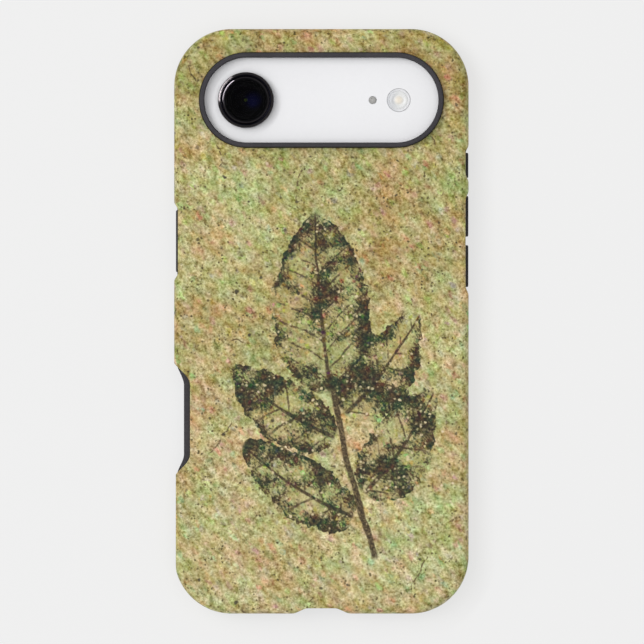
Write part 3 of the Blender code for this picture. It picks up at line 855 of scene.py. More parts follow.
# %% Ring and cover glass
def camera_ring():
    """A black ring with a wide shallow bevel outside and a narrow one inside."""
    top, outer = LENS_TOP_Z, LENS_RADIUS
    profile = [
        (outer, CAMERA_FOOT), (outer, top - 0.36), (outer - 0.02, top - 0.27),
        (outer - 0.08, top - 0.2), (outer - 0.12, top - 0.186), (outer - 0.54, top - 0.036),
        (outer - 0.58, top - 0.02), (outer - 0.66, top), (RING_INNER + 0.12, top),
        (RING_INNER + 0.03, top - 0.05), (RING_INNER, top - 0.12), (RING_INNER, CAMERA_FOOT),
    ]
    return turned("camera_ring_turned", profile, LENS_X)


def camera_glass():
    """The cover glass. Its bevelled border is printed black, and its middle is clear."""
    top, edge = GLASS_TOP, RING_INNER - 0.06
    profile = [
        (0, top - 0.9), (edge, top - 0.9), (edge, top - 0.24), (edge - 0.04, top - 0.18),
        (edge - 0.08, top - 0.165), (edge - 0.48, top - 0.022), (edge - 0.52, top - 0.01),
        (edge - 0.6, top), (0, top),
    ]
    return turned("camera_cover_glass", profile, LENS_X)


ring, cover_glass = camera_ring(), camera_glass()
print("ring and glass:", len(ring.data.polygons), "and", len(cover_glass.data.polygons), "faces")

# %% The barrel
DISH_CURVE = 7.9
DISH_REACH = 4.0
DISH_STEPS = 15
FRONT_LENS = 0.5
FRONT_LENS_RISE = 0.2


def camera_barrel():
    """The stepped barrel, a coated dish and the small front lens in the middle of it."""
    top, edge = BARREL_TOP, RING_INNER - 0.3
    profile = [
        (0, CAMERA_FOOT), (edge, CAMERA_FOOT), (edge, top), (5.5, top), (5.4, top - 0.12),
        (4.9, top - 0.12), (4.8, top - 0.26), (4.3, top - 0.26), (4.2, top - 0.4),
    ]
    centre = top - 0.4 + math.sqrt(DISH_CURVE**2 - DISH_REACH**2)
    for step in range(DISH_STEPS + 1):
        radius = DISH_REACH - (DISH_REACH - FRONT_LENS) * step / DISH_STEPS
        profile.append((radius, centre - math.sqrt(DISH_CURVE**2 - radius**2)))
    foot = profile[-1][1]
    for turn in quarter_turn(6)[1:]:
        profile.append((FRONT_LENS * math.cos(turn), foot + FRONT_LENS_RISE * math.sin(turn)))
    return turned("camera_barrel_turned", profile, LENS_X)


barrel = camera_barrel()
print("barrel:", len(barrel.data.polygons), "faces")

# %% Flash and microphone
def flash():
    """The flash's cover: a flat border, a step and a shallow dish with a domed middle."""
    foot, top, edge = BAR_TOP_Z - 0.7, BAR_TOP_Z, FLASH_RADIUS
    profile = [
        (0, foot), (edge, foot), (edge, top - 0.02), (edge - 0.1, top + 0.05),
        (2.66, top + 0.05), (2.56, top - 0.04), (2.46, top - 0.04), (2.3, top + 0.06),
        (1.86, top + 0.08), (1.66, top - 0.02), (1.3, top - 0.08), (1.1, top - 0.02),
        (0.8, top + 0.06), (0.4, top + 0.12), (0, top + 0.14),
    ]
    return turned("flash_cover_turned", profile, FLASH_X)


def microphone():
    """A woven grille, a little sunk and a little domed."""
    foot, top = BAR_TOP_Z - 0.7, BAR_TOP_Z - 0.12
    profile = [
        (0, foot), (0.98, foot), (0.98, top - 0.06), (0.9, top), (0.45, top + 0.02),
        (0, top + 0.03),
    ]
    return turned("microphone_cap", profile, MICROPHONE_X, steps=48)


flash_cover, microphone_cap = flash(), microphone()
print("flash and microphone:", [len(p.data.polygons) for p in (flash_cover, microphone_cap)])

# %% [markdown]
# ## A short way to write nodes
#
# The print is the looks of this object, and it is long arithmetic on a place in millimetres.
# Built by hand in the node editor it would be a wall of Math nodes. A small class that stands
# for a wire lets the same nodes be written as formulas, which are easier to read and to mend.

# %% Wires
class Wire:
    """A value on its way through a node tree. Arithmetic on wires adds Math nodes."""

    def __init__(self, socket):
        self.socket = socket

    def __add__(self, other):
        return reckon("ADD", self, other)

    def __sub__(self, other):
        return reckon("SUBTRACT", self, other)

    def __rsub__(self, other):
        return reckon("SUBTRACT", other, self)

    def __mul__(self, other):
        return reckon("MULTIPLY", self, other)

    def __truediv__(self, other):
        return reckon("DIVIDE", self, other)

    def __pow__(self, other):
        return reckon("POWER", self, other)

    def __abs__(self):
        return reckon("ABSOLUTE", self)

    __radd__ = __add__
    __rmul__ = __mul__


print("wires take +, -, *, /, ** and abs")

# %% Nodes from wires
def feed(socket, value):
    """Links a wire to a socket, or sets the socket to a plain value."""
    if isinstance(value, Wire):
        socket.id_data.links.new(value.socket, socket)
    else:
        socket.default_value = value


def node(near, kind, *inputs, **settings):
    """A new node in the tree of the wire near, with its first inputs fed."""
    made = near.socket.id_data.nodes.new("ShaderNode" + kind)
    for name, setting in settings.items():
        setattr(made, name, setting)
    for socket, value in zip(made.inputs, inputs):
        feed(socket, value)
    return made


def parts(value, kind="SeparateXYZ"):
    """The three numbers of a place, or of a colour."""
    return [Wire(output) for output in node(value, kind, value).outputs]


def reckon(operation, *values):
    """A sum on numbers."""
    near = next(value for value in values if isinstance(value, Wire))
    return Wire(node(near, "Math", *values, operation=operation).outputs[0])


def vector(operation, *values):
    """The same for places and colours, three numbers at a time."""
    near = next(value for value in values if isinstance(value, Wire))
    return Wire(node(near, "VectorMath", *values, operation=operation).outputs[0])


def most(a, b):
    return reckon("MAXIMUM", a, b)


def least(a, b):
    return reckon("MINIMUM", a, b)


def ramp(value, low, high):
    """0 below low, 1 above high and smooth between. Where low is the higher one, it falls."""
    made = node(value, "MapRange", value, low, high, interpolation_type="SMOOTHSTEP")
    return Wire(made.outputs[0])


print("nodes can be written as formulas")

# %% [markdown]
# ## Textures and colours
#
# Two textures make everything that follows: soft noise for clouds and grain, and scattered
# points for patches and dots. Both work on a place in millimetres, so the size of a blob can be
# read off the photograph. Colours are written as a picture editor shows them, mixed on that
# scale, and turned into reflected light at the very end.

# %% Textures
def textured(kind, place, size):
    """A texture node whose pattern is about this large."""
    made = node(place, kind)
    feed(made.inputs["Vector"], place)
    feed(made.inputs["Scale"], 1.0 / size)
    return made


def elsewhere(where, seed, stride):
    """The place moved far away, by seed times the stride, so that patterns don't repeat."""
    return vector("ADD", where, tuple(seed * step for step in stride))


def noise(where, size, detail=2.0, roughness=0.5, seed=0):
    """Soft noise round 0 whose blobs are about this size in millimetres."""
    made = textured("TexNoise", elsewhere(where, seed, (37.7, 11.3, 5.9)), size)
    feed(made.inputs["Detail"], detail)
    feed(made.inputs["Roughness"], roughness)
    return Wire(made.outputs["Fac"]) - 0.5


def jittered(where, size, amount, seed):
    """The place, pushed about by soft noise so that patterns there lose their regular shapes."""
    made = textured("TexNoise", elsewhere(where, seed, (17.3, 5.7, 9.1)), size)
    return vector("MULTIPLY_ADD", Wire(made.outputs["Color"]), (amount, amount, amount), where)


def cells(where, size, seed=0):
    """Scattered points about this far apart: the distance to the nearest, and the colour that
    it was dealt."""
    made = textured("TexVoronoi", elsewhere(where, seed, (29.3, 7.1, 3.3)), size)
    return Wire(made.outputs["Distance"]) * size, Wire(made.outputs["Color"])


print("noise for clouds and grain, and points for patches and dots")

# %% Colours
BRIGHTEST = 255
GAMMA = 2.2
DARKEST = 0.02


def shade(red, green, blue):
    """A colour as a picture editor shows it, 0 to 255."""
    return (red / BRIGHTEST, green / BRIGHTEST, blue / BRIGHTEST, 1.0)


def tint(colour, amount, push):
    """The colour, pushed by this much along a direction that is given in steps of 1/255."""
    push = tuple(value / BRIGHTEST for value in push)
    start = colour if isinstance(colour, Wire) else colour[:3]
    return vector("MULTIPLY_ADD", amount, push, start)


def mottled(colour, where, size, detail, seed, push):
    """The colour, pushed either way by soft noise."""
    return tint(colour, noise(where, size, detail, seed=seed), push)


def tint_by(colour, amount, push):
    """The colour, pushed by an amount along a direction that varies too."""
    scaled = node(amount, "VectorMath", push, operation="SCALE")
    feed(scaled.inputs["Scale"], amount)
    return vector("ADD", colour, Wire(scaled.outputs[0]))


def mixed(amount, first, second):
    """The first colour where the amount is 0, and the second where it is 1."""
    made = node(amount, "Mix", data_type="RGBA")
    feed(made.inputs[0], amount)
    feed(made.inputs[6], first)
    feed(made.inputs[7], second)
    return Wire(made.outputs[2])


def linear(colour):
    """From the values that a picture editor shows to the light that a surface reflects."""
    safe = vector("MAXIMUM", colour, (DARKEST, DARKEST, DARKEST))
    return Wire(node(colour, "Gamma", safe, GAMMA).outputs[0])


print("colours count from 0 to", BRIGHTEST)

# %% A material and the place it starts from
def material(name, roughness, metallic=0.0, specular=0.5):
    """A new material with its shader, and the place on the piece in millimetres."""
    made = bpy.data.materials.new(name)
    made.use_nodes = True
    shader = made.node_tree.nodes["Principled BSDF"]
    shader.inputs["Roughness"].default_value = roughness
    shader.inputs["Metallic"].default_value = metallic
    shader.inputs["Specular IOR Level"].default_value = specular
    place = Wire(made.node_tree.nodes.new("ShaderNodeTexCoord").outputs["Object"])
    return made, shader, vector("MULTIPLY", place, (1 / MM, 1 / MM, 1 / MM))


def colour_by(shader, colour):
    """Gives the shader its base colour."""
    feed(shader.inputs["Base Color"], linear(colour))


def bump(shader, height, depth):
    """Bends the shading by a height. depth is how far a height of 1 stands up, in millimetres."""
    made = node(height, "Bump")
    made.inputs["Strength"].default_value = 1.0
    made.inputs["Distance"].default_value = depth * MM
    feed(made.inputs["Height"], height)
    feed(shader.inputs["Normal"], Wire(made.outputs["Normal"]))


def finish(piece, look):
    """Gives a piece one material."""
    piece.data.materials.clear()
    piece.data.materials.append(look)


print("materials start from a place in millimetres")

# %% [markdown]
# ## The stone ground of the print
#
# Close up, the printed stone is olive yellow with soft blobs of green, orange brown and mauve,
# a gritty grain a little drawn out along one diagonal, small patches of stray colour, and
# scattered dark pits, pale grains and hair cracks. Photographs of stone could be mapped on, but
# layers of noise stay sharp at any size and run over the edge onto the sides without a seam,
# as the print on a wrap-round shell does.

# %% Stone
STONE = shade(179, 167, 110)
FADE_UPWARDS = (-4, -7, -9)
STREAK_ANGLE = math.radians(-50)
STREAK_SCALE = (1.35, 0.9, 1.0)
# drawn out along the streaks or not, size, detail, seed and push
CLOUDS = (
    (False, 38.0, 1.0, 1, (46, 56, 60)),
    (False, 16.0, 2.0, 2, (-50, 24, 2)),
    (False, 7.0, 2.0, 3, (52, 60, 64)),
    (True, 4.2, 2.0, 4, (-54, 16, -4)),
    (True, 3.0, 2.0, 5, (44, 34, 88)),
)
WEAR = 1.5


def streaked(where):
    """The place, squeezed so that a pattern is drawn out along the streak angle."""
    made = node(where, "Mapping", where, vector_type="TEXTURE")
    made.inputs["Rotation"].default_value = (0, 0, STREAK_ANGLE)
    made.inputs["Scale"].default_value = STREAK_SCALE
    return Wire(made.outputs[0])


def worn(height):
    """Deepens what lies low and flattens what stands high, as wear and dirt do to stone."""
    return height * (1.0 - height * WEAR)


def clouded(where, grain):
    """The stone's soft blobs, from the widest to the narrowest."""
    up = parts(where)[1]
    colour = tint(STONE, up / SHELL[1], FADE_UPWARDS)
    for drawn_out, size, detail, seed, push in CLOUDS:
        place = grain if drawn_out else where
        colour = mottled(colour, place, size, detail, seed, push)
    return colour


def gritty(colour, where, grain):
    """The same with three sizes of grain. The grain is stronger in busy places."""
    busy = noise(where, 9.0, 2.0, seed=9) * 1.2 + 1.0
    coarse = worn(noise(grain, 1.7, 3.0, 0.6, seed=6)) * busy
    medium = worn(noise(where, 1.1, 2.0, seed=7))
    fine = worn(noise(where, 0.66, 2.0, 0.7, seed=8)) * busy
    colour = tint(colour, coarse, (160, 162, 154))
    colour = tint(colour, medium, (90, 104, 112))
    return tint(colour, fine, (160, 160, 156))


print(len(CLOUDS), "sizes of blobs and 3 of grain")

# %% Patches of stray colour
PATCH_SIZE = 2.2
PATCH_STRENGTH = 230


def stray_colour(colour, where, size, amount, seed):
    """Small patches, each pushed towards a colour of its own."""
    distance, dealt = cells(jittered(where, size * 0.6, size, seed), size, seed)
    mild = vector("SUBTRACT", dealt, (0.5, 0.5, 0.5))
    rare = vector("MULTIPLY", vector("MULTIPLY", mild, mild), mild)
    return tint_by(colour, ramp(distance, size * 0.62, size * 0.1) * (amount / BRIGHTEST), rare)


def stone(where, grain):
    """The stone's colour as a picture editor shows it."""
    colour = gritty(clouded(where, grain), where, grain)
    return stray_colour(colour, grain, PATCH_SIZE, PATCH_STRENGTH, seed=1)


print("patches of stray colour", PATCH_SIZE, "mm apart")

# %% Pits, grains and cracks
CRACK_CELL = 34.0
CRACK_WIDTH = (0.34, 0.1)
CRACK = shade(84, 66, 38)
# distance apart, largest radius, share, seed, strength and colour
SPECKS = (
    (3.4, 0.6, 0.5, 3, 0.9, shade(62, 56, 40)),
    (1.1, 0.34, 0.3, 4, 0.5, shade(228, 214, 168)),
    (3.0, 0.5, 0.35, 5, 0.8, shade(232, 214, 182)),
)
PIT = shade(74, 64, 32)


def dots(where, size, radius, share, seed):
    """Ragged dots up to this radius, one for this share of the points that are size apart."""
    distance, dealt = cells(where, size, seed)
    chance = parts(dealt, "SeparateColor")[0]
    ragged = distance + noise(where, radius * 2.2, 1.0, seed=seed + 10) * radius * 2.5
    return ramp(ragged, radius, radius * 0.25) * ramp(chance, 1.0 - share, 1.0)


def cracks(where):
    """A few thin broken cracks, along the borders of big uneven cells."""
    made = node(where, "TexVoronoi", feature="DISTANCE_TO_EDGE")
    feed(made.inputs["Vector"], jittered(where, 5.0, 5.0, seed=4))
    feed(made.inputs["Scale"], 1.0 / CRACK_CELL)
    line = ramp(Wire(made.outputs["Distance"]) * CRACK_CELL, *CRACK_WIDTH)
    here = ramp(noise(where, 13.0, 2.0, seed=15), 0.06, 0.12)
    whole = ramp(noise(where, 1.6, seed=16), -0.1, 0.02)
    return line * here * whole


def pitted(colour, where):
    """Cracks, dark pits of two sizes and pale grains of two sizes on a colour."""
    colour = mixed(cracks(where) * 0.75, colour, CRACK)
    gathered = ramp(noise(where, 5.0, 2.0, seed=17), -0.14, 0.12)
    colour = mixed(dots(where, 0.95, 0.4, 0.95, seed=2) * gathered * 0.95, colour, PIT)
    for size, radius, share, seed, strength, speck in SPECKS:
        colour = mixed(dots(where, size, radius, share, seed) * strength, colour, speck)
    return colour


print("pits, and", len(SPECKS), "more kinds of dots")

# %% [markdown]
# ## The fossil leaf
#
# The picture on the back is a fossil leaf, and this one is a spray of the maker's own: a
# stalk, two pairs of broad toothed leaflets and one at the tip. A fossil leaf is a thin dark
# film that breaks up. Along the margin it is nearly whole, further in it crumbles to dark and
# light grains, and in between the stone shows through. One threshold on a sum of noises does
# all three. Nothing of it is raised, so it is all colour.

# %% One leaflet
TOOTH = 3.3
VEIN_GAP = 5.2
MARGIN = 5.0


def outline_of(where, along, beside, length, half_width):
    """How far inside a toothed leaflet a place is, its share of the length from the foot, and a
    fade that is 0 at both ends. beside is the distance from the midrib."""
    share = least(most(along / length, 0.0), 1.0)
    ends = ramp(share, 0.0, 0.04) * ramp(share, 1.0, 0.96)
    swell = 2.32 * half_width * share**0.5 * (1.0 - share) ** 0.75
    tooth = reckon("FRACT", (along + 0.6 * beside) / TOOTH) - 0.5
    ragged = noise(where, 2.2, 3.0, 0.6, seed=21) * 2.6 + noise(where, 9.0, 1.0, seed=25) * 5.0
    return swell + (tooth * 0.8 + ragged) * ends - beside, share, ends


def side_veins(where, along, across, slant):
    """Rows of thin veins that curve from the midrib to the margin."""
    beside = abs(across)
    turn = reckon("SIGN", across) * 0.22 + noise(where, 7.0, 1.0, seed=26) * 0.5
    bowed = along - beside * slant + beside * beside * 0.02
    row = reckon("FRACT", bowed / VEIN_GAP + turn)
    return ramp(abs(row - 0.5) * VEIN_GAP + noise(where, 0.9, 2.0, seed=23) * 0.7, 0.5, 0.12)


def leaflet(where, along, across, length, half_width, slant=0.8):
    """Where a leaflet is, its veins and its stained margin, each from 0 to 1. along runs from
    the foot to the tip and across from side to side, in millimetres."""
    beside = abs(across)
    inside, share, ends = outline_of(where, along, beside, length, half_width)
    body = ramp(inside, 0.0, 0.4) * ends
    wavy = beside + noise(where, 2.0, 2.0, seed=22) * 0.5
    midrib = ramp(wavy, 0.85 - share * 0.5, 0.3 - share * 0.2)
    vein = side_veins(where, along, across, slant) * ramp(inside, 0.0, 4.0)
    vein = vein * ramp(noise(where, 2.4, 2.0, seed=24), -0.16, 0.02)
    return body, most(midrib, vein * 0.85) * body, ramp(inside, MARGIN, 0.0) * body


print("a leaflet's teeth are", TOOTH, "mm apart and its veins", VEIN_GAP)

# %% The whole spray
FOOT = (11.0, -66.0)
LEAN = math.radians(9.5)
BOW = 0.0016
PAIR_GAP = 22.5
FIRST_PAIR = 15.0
TIP_START = FIRST_PAIR + PAIR_GAP + 9.0
SPREAD = math.radians(56)
LEAFLET = (35.5, 9.2)
TIP_LEAFLET = (51.0, 14.0)
STALK_RADIUS = (1.05, 0.55)


def spray_frame(where):
    """How far up the bowed stalk a place is, and how far to its side."""
    x, y = parts(where)[:2]
    x, y = x - FOOT[0], y - FOOT[1]
    up = x * -math.sin(LEAN) + y * math.cos(LEAN)
    aside = x * math.cos(LEAN) + y * math.sin(LEAN)
    bow = BOW * (up - 50.0) * (up - 50.0)
    return up, aside - bow + noise(where, 14.0, 1.0, seed=31) * 1.6


def paired_leaflets(where, up, aside):
    """Two pairs of leaflets, one side a little higher, each leaflet of a size of its own."""
    side = reckon("SIGN", aside)
    beside = abs(aside)
    staggered = up - side * 3.0
    level = staggered - beside / math.tan(SPREAD)
    pair = reckon("FLOOR", (level - FIRST_PAIR) / PAIR_GAP + 0.5)
    pair = least(most(pair, 0.0), 1.0)
    key = node(pair, "CombineXYZ", pair, side, 4.0)
    luck = Wire(node(pair, "TexWhiteNoise", Wire(key.outputs[0])).outputs[0]) - 0.5
    from_foot = staggered - (pair * PAIR_GAP + FIRST_PAIR)
    along = from_foot * math.cos(SPREAD) + beside * math.sin(SPREAD) - 1.4
    across = beside * math.cos(SPREAD) - from_foot * math.sin(SPREAD)
    across = across + 0.005 * along * along - 1.2
    length, half_width = LEAFLET
    return leaflet(where, along, across, length + luck * 3.0, half_width + luck * 0.6)


def spray(where):
    """The leaflets' bodies, veins and margins, and the stalk."""
    up, aside = spray_frame(where)
    paired = paired_leaflets(where, up, aside)
    tip = leaflet(where, up - TIP_START, aside + 0.3, *TIP_LEAFLET, slant=0.95)
    stalk = ramp(abs(aside) + noise(where, 1.6, 2.0, seed=32) * 0.6, *STALK_RADIUS)
    stalk = stalk * ramp(up, -1.0, 1.0) * ramp(up, TIP_START + 4.0, TIP_START)
    return [most(a, b) for a, b in zip(paired, tip)], stalk


print("the spray is", TIP_START + TIP_LEAFLET[0], "mm long")

# %% The leaf's film, stain and fibres
FILM = shade(172, 168, 106)
FILM_SHARE = 0.36
STAIN = shade(40, 38, 18)
STAIN_SHARE = 0.92
FIBRE = shade(66, 52, 32)
PALE_GRAIN = shade(224, 208, 164)


def leaf_colours(where, grit):
    """The leaf's thin film, its dark stain and the fibres of its veins."""
    film = tint(FILM, grit, (200, 200, 180))
    film = tint(film, noise(where, 6.0, 3.0, 0.6, seed=45), (70, 84, 60))
    stain = tint(STAIN, noise(where, 0.9, 2.0, 0.6, seed=48), (190, 184, 130))
    stain = mottled(stain, where, 3.0, 2.0, 46, (110, -30, -26))
    return film, stain, tint(FIBRE, grit, (220, 200, 150))


def fossil(colour, where, grain):
    """The leaf on the stone: film, then veins, then stain, then stray and pale grains."""
    (body, veins, margin), stalk = spray(where)
    grit = noise(grain, 0.66, 2.0, 0.7, seed=42)
    film, stain, fibre = leaf_colours(where, grit)
    crumble = noise(where, 11.0, 1.0, seed=43) * 2.6 + noise(where, 4.5, 3.0, 0.6, seed=44) * 2.0
    stained = ramp(crumble + grit * 2.0 + margin * 0.45, -0.2, 0.5) * body
    kept = ramp(noise(where, 0.9, 3.0, 0.7, seed=49), -0.22, 0.04) * 0.42 + 0.5
    colour = mixed(body * FILM_SHARE, colour, film)
    colour = mixed(most(veins, stalk) * kept, colour, fibre)
    colour = mixed(stained * STAIN_SHARE, colour, stain)
    colour = stray_colour(colour, where, 1.6, body * 270, seed=6)
    grains = ramp(noise(where, 8.0, 2.0, seed=47), -0.16, 0.04) * body
    return mixed(dots(where, 1.2, 0.5, 0.85, seed=7) * grains * 0.95, colour, PALE_GRAIN)


print("the stain takes", STAIN_SHARE, "of the colour and the film", FILM_SHARE)

# %% The print
def print_material():
    """Stone, leaf and pits together on a satin plastic with a very fine tooth."""
    look, shader, where = material("printed_stone_and_leaf", 0.5, specular=0.3)
    grain = streaked(where)
    ground = stone(where, grain)
    colour_by(shader, pitted(fossil(ground, where, grain), where))
    bump(shader, noise(where, 0.5, 2.0, seed=51), 0.02)
    return look


print_look = print_material()
print("the print takes", len(print_look.node_tree.nodes), "nodes")

# %% [markdown]
# ## Rubber, glass and metal
#
# The other finishes are quiet. Rubber is a dark matt with a very fine grain, a little lighter
# in some places than in others. The white bar is smooth and white all through. The metal of
# the frame is satin, and its lines run across. A plain colour would do for each, but a trace of
# noise in it keeps the large faces from looking like a drawing.

# %% Rubber and white glass
def rubber_material():
    """A dark matt with a very fine grain."""
    look, shader, where = material("charcoal_rubber", 0.62, specular=0.3)
    base = mottled(shade(58, 56, 60), where, 9.0, 2.0, 61, (16, 15, 14))
    base = mottled(base, where, 0.5, 1.0, 62, (18, 18, 18))
    colour_by(shader, base)
    bump(shader, noise(where, 0.22, 2.0, seed=63), 0.03)
    return look


def white_material():
    """Smooth white, hardly uneven."""
    look, shader, where = material("white_glass", 0.24, specular=0.35)
    base = mottled(shade(245, 245, 247), where, 24.0, 2.0, 71, (5, 5, 5))
    base = mottled(base, where, 1.2, 2.0, 72, (3, 3, 3))
    colour_by(shader, base)
    feed(shader.inputs["Roughness"], noise(where, 6.0, 2.0, seed=73) * 0.06 + 0.24)
    return look


rubber, white_glass = rubber_material(), white_material()
print("rubber and white glass")

# %% Satin metal and plated steel
DRAWN_LINES = (1.0, 30.0, 30.0)
AERIAL_Y = 64.5
AERIAL_HALF_WIDTH = (0.62, 0.5)


def metal_material(name, colour, roughness, bands=False):
    """Satin metal with fine lines along X. Bands are the narrow plastic joints that split a
    phone's frame for its aerials."""
    look, shader, where = material(name, roughness, metallic=1.0)
    brushed = noise(vector("MULTIPLY", where, DRAWN_LINES), 4.0, 3.0, seed=74)
    base = tint(colour, brushed, (18, 18, 18))
    if bands:
        joint = ramp(abs(abs(parts(where)[1]) - AERIAL_Y), *AERIAL_HALF_WIDTH)
        base = mixed(joint, base, shade(206, 206, 208))
        feed(shader.inputs["Metallic"], 1.0 - joint)
    colour_by(shader, base)
    feed(shader.inputs["Roughness"], brushed * 0.12 + roughness)
    return look


satin_metal = metal_material("satin_metal", shade(224, 224, 226), 0.3, bands=True)
plated_steel = metal_material("plated_steel", shade(204, 203, 205), 0.34)
print("satin metal and plated steel")

# %% [markdown]
# ## Blacks that differ in polish
#
# The phone's front and its camera are nearly all black. Black pieces can't be told apart by
# colour, so each has its own roughness, and the bevels of the camera are a lighter metal that
# catches the strips of light. Lines and rings are drawn by distance, which keeps them round.

# %% The black glass of the front
DISPLAY = (35.7, 76.4)
BORDER_BLUR = 0.2
EYE_Y = 70.5
EYE_RADIUS = (2.1, 1.95)
IRIS_RADIUS = (0.95, 0.7)


def front_material():
    """Black glass over the display, with its border a shade darker and a small front camera."""
    look, shader, where = material("black_front_glass", 0.05)
    x, y = parts(where)[:2]
    beyond_side = ramp(abs(x), DISPLAY[0], DISPLAY[0] + BORDER_BLUR)
    beyond_end = ramp(abs(y), DISPLAY[1], DISPLAY[1] + BORDER_BLUR)
    from_eye = (x * x + (y - EYE_Y) * (y - EYE_Y)) ** 0.5
    base = mixed(most(beyond_side, beyond_end), shade(17, 17, 20), shade(6, 6, 7))
    base = mixed(ramp(from_eye, *EYE_RADIUS), base, shade(4, 4, 5))
    base = mixed(ramp(from_eye, *IRIS_RADIUS), base, shade(22, 26, 54))
    base = mottled(base, where, 12.0, 2.0, 75, (3, 3, 3))
    colour_by(shader, base)
    feed(shader.inputs["Roughness"], noise(where, 18.0, 3.0, seed=76) * 0.05 + 0.06)
    return look


front_look = front_material()
print("the display is", 2 * DISPLAY[0], "x", 2 * DISPLAY[1])

# %% The camera's ring and its cover
def from_axis(where, x):
    """Distance from the upright axis of a turned piece on the camera bar."""
    across, along = parts(where)[:2]
    across, along = across - x, along - CAMERA_Y
    return (across * across + along * along) ** 0.5


def ring_material():
    """Black anodised metal, with the shallow bevel polished a little brighter."""
    look, shader, where = material("black_anodised", 0.2, metallic=1.0)
    radius = from_axis(where, LENS_X)
    bevel = ramp(radius, 7.02, 7.1) * ramp(radius, LENS_RADIUS, LENS_RADIUS - 0.08)
    base = mixed(bevel, shade(20, 20, 25), shade(69, 66, 67))
    base = mottled(base, where, 0.8, 2.0, 81, (5, 5, 5))
    colour_by(shader, base)
    feed(shader.inputs["Roughness"], bevel * -0.1 + noise(where, 3.0, 2.0, seed=82) * 0.04 + 0.2)
    return look


def cover_material():
    """Coated glass, clear in the middle and printed black on the back of its border."""
    look, shader, where = material("coated_cover_glass", 0.06, specular=0.12)
    radius = from_axis(where, LENS_X)
    border, bevel = ramp(radius, 5.4, 5.6), ramp(radius, 6.04, 6.1)
    base = mixed(bevel, shade(7, 7, 10), shade(61, 58, 61))
    base = mottled(base, where, 5.0, 2.0, 83, (2, 2, 3))
    colour_by(shader, base)
    feed(shader.inputs["Metallic"], bevel)
    feed(shader.inputs["Alpha"], border * 0.82 + 0.18)
    return look


black_anodised, coated_cover = ring_material(), cover_material()
print("an anodised ring and a coated cover")

# %% The barrel behind the glass
# how far beside the lens's axis the blue patch lies, where it is a painted reflection
PAINTED_REFLECTION_ASIDE = 2.0


def barrel_material():
    """Matt black steps, a small front lens coated green, and a dish coated deep blue in a patch
    set beside the axis, where the blue is partly a painted reflection.
    """
    look, shader, where = material("coated_barrel", 0.4, specular=0.06)
    # painted reflection: the blue patch is centred beside the axis, where the dish mirrors the
    # light
    dish = ramp(from_axis(where, LENS_X + PAINTED_REFLECTION_ASIDE), 3.4, 1.2)
    core = ramp(from_axis(where, LENS_X), 0.52, 0.46)
    base = mixed(dish, shade(8, 8, 11), shade(19, 20, 40))
    base = mixed(core, base, shade(52, 62, 30))
    base = mottled(base, where, 1.5, 2.0, 84, (3, 3, 4))
    colour_by(shader, base)
    feed(shader.inputs["Metallic"], dish)
    feed(shader.inputs["Roughness"], 0.5 - dish * 0.06 - core * 0.2)
    return look


coated_barrel = barrel_material()
print("a barrel with a blue dish")

# %% [markdown]
# ## Three small patterns
#
# The flash has a frosted cover with fine rings, the microphone a grille of woven wire, and the
# port's tongue a row of gilt contacts. A picture of such small things would have to be very
# large to stay sharp. Rings, waves and repeats of the place itself are sharp at any size.

# %% The flash's cover
def flash_material():
    """Frosted plastic with painted shade, greyer towards the left and darker in the groove of its
    step, and a warm middle where the lamp's yellow chip lies behind it."""
    look, shader, where = material("frosted_flash_cover", 0.3, specular=0.4)
    radius = from_axis(where, FLASH_X)
    # painted shade: the cover is mixed towards grey across its left side
    left = ramp(parts(where)[0], FLASH_X + 0.8, FLASH_X - 2.4)
    # painted shade: the groove of the step is drawn darker, as if in shadow
    painted_groove_shade = ramp(radius, 2.62, 2.56) * ramp(radius, 2.42, 2.5)
    base = mixed(ramp(radius, 2.7, 2.4), shade(236, 236, 238), shade(232, 233, 232))
    base = mixed(left * 0.8, base, shade(206, 208, 212))
    base = mixed(painted_groove_shade, base, shade(214, 215, 216))
    base = mixed(ramp(radius, 1.7, 0.4), base, shade(240, 231, 216))
    colour_by(shader, mottled(base, where, 0.5, 2.0, 85, (6, 6, 6)))
    return look


flash_look = flash_material()
print("a frosted flash cover")

# %% Grille and contacts
WIRE_PITCH = 0.22
CONTACT_PITCH = 0.5


def grille_material():
    """Woven wire: two sets of fine ridges that cross."""
    look, shader, where = material("woven_grille", 0.5, metallic=0.4)
    waves = [reckon("SINE", axis * (2 * math.pi / WIRE_PITCH)) for axis in parts(where)[:2]]
    weave = waves[0] * waves[1]
    base = tint(shade(176, 175, 172), weave, (22, 22, 22))
    colour_by(shader, mottled(base, where, 0.6, 1.0, 86, (16, 16, 16)))
    bump(shader, weave, 0.02)
    return look


def tongue_material():
    """The black tongue of the port with its row of gilt contacts."""
    look, shader, where = material("port_tongue_black", 0.42)
    x, y = parts(where)[:2]
    row = ramp(abs(reckon("FRACT", x / CONTACT_PITCH) - 0.5) * CONTACT_PITCH, 0.14, 0.11)
    pad = row * ramp(abs(x), 2.95, 2.85) * ramp(y, -75.7, -75.8)
    base = mixed(pad, shade(34, 34, 36), shade(214, 178, 104))
    colour_by(shader, mottled(base, where, 0.6, 2.0, 87, (8, 8, 8)))
    feed(shader.inputs["Metallic"], pad)
    return look


grille_look, tongue_look = grille_material(), tongue_material()
print("a woven grille and gilt contacts")
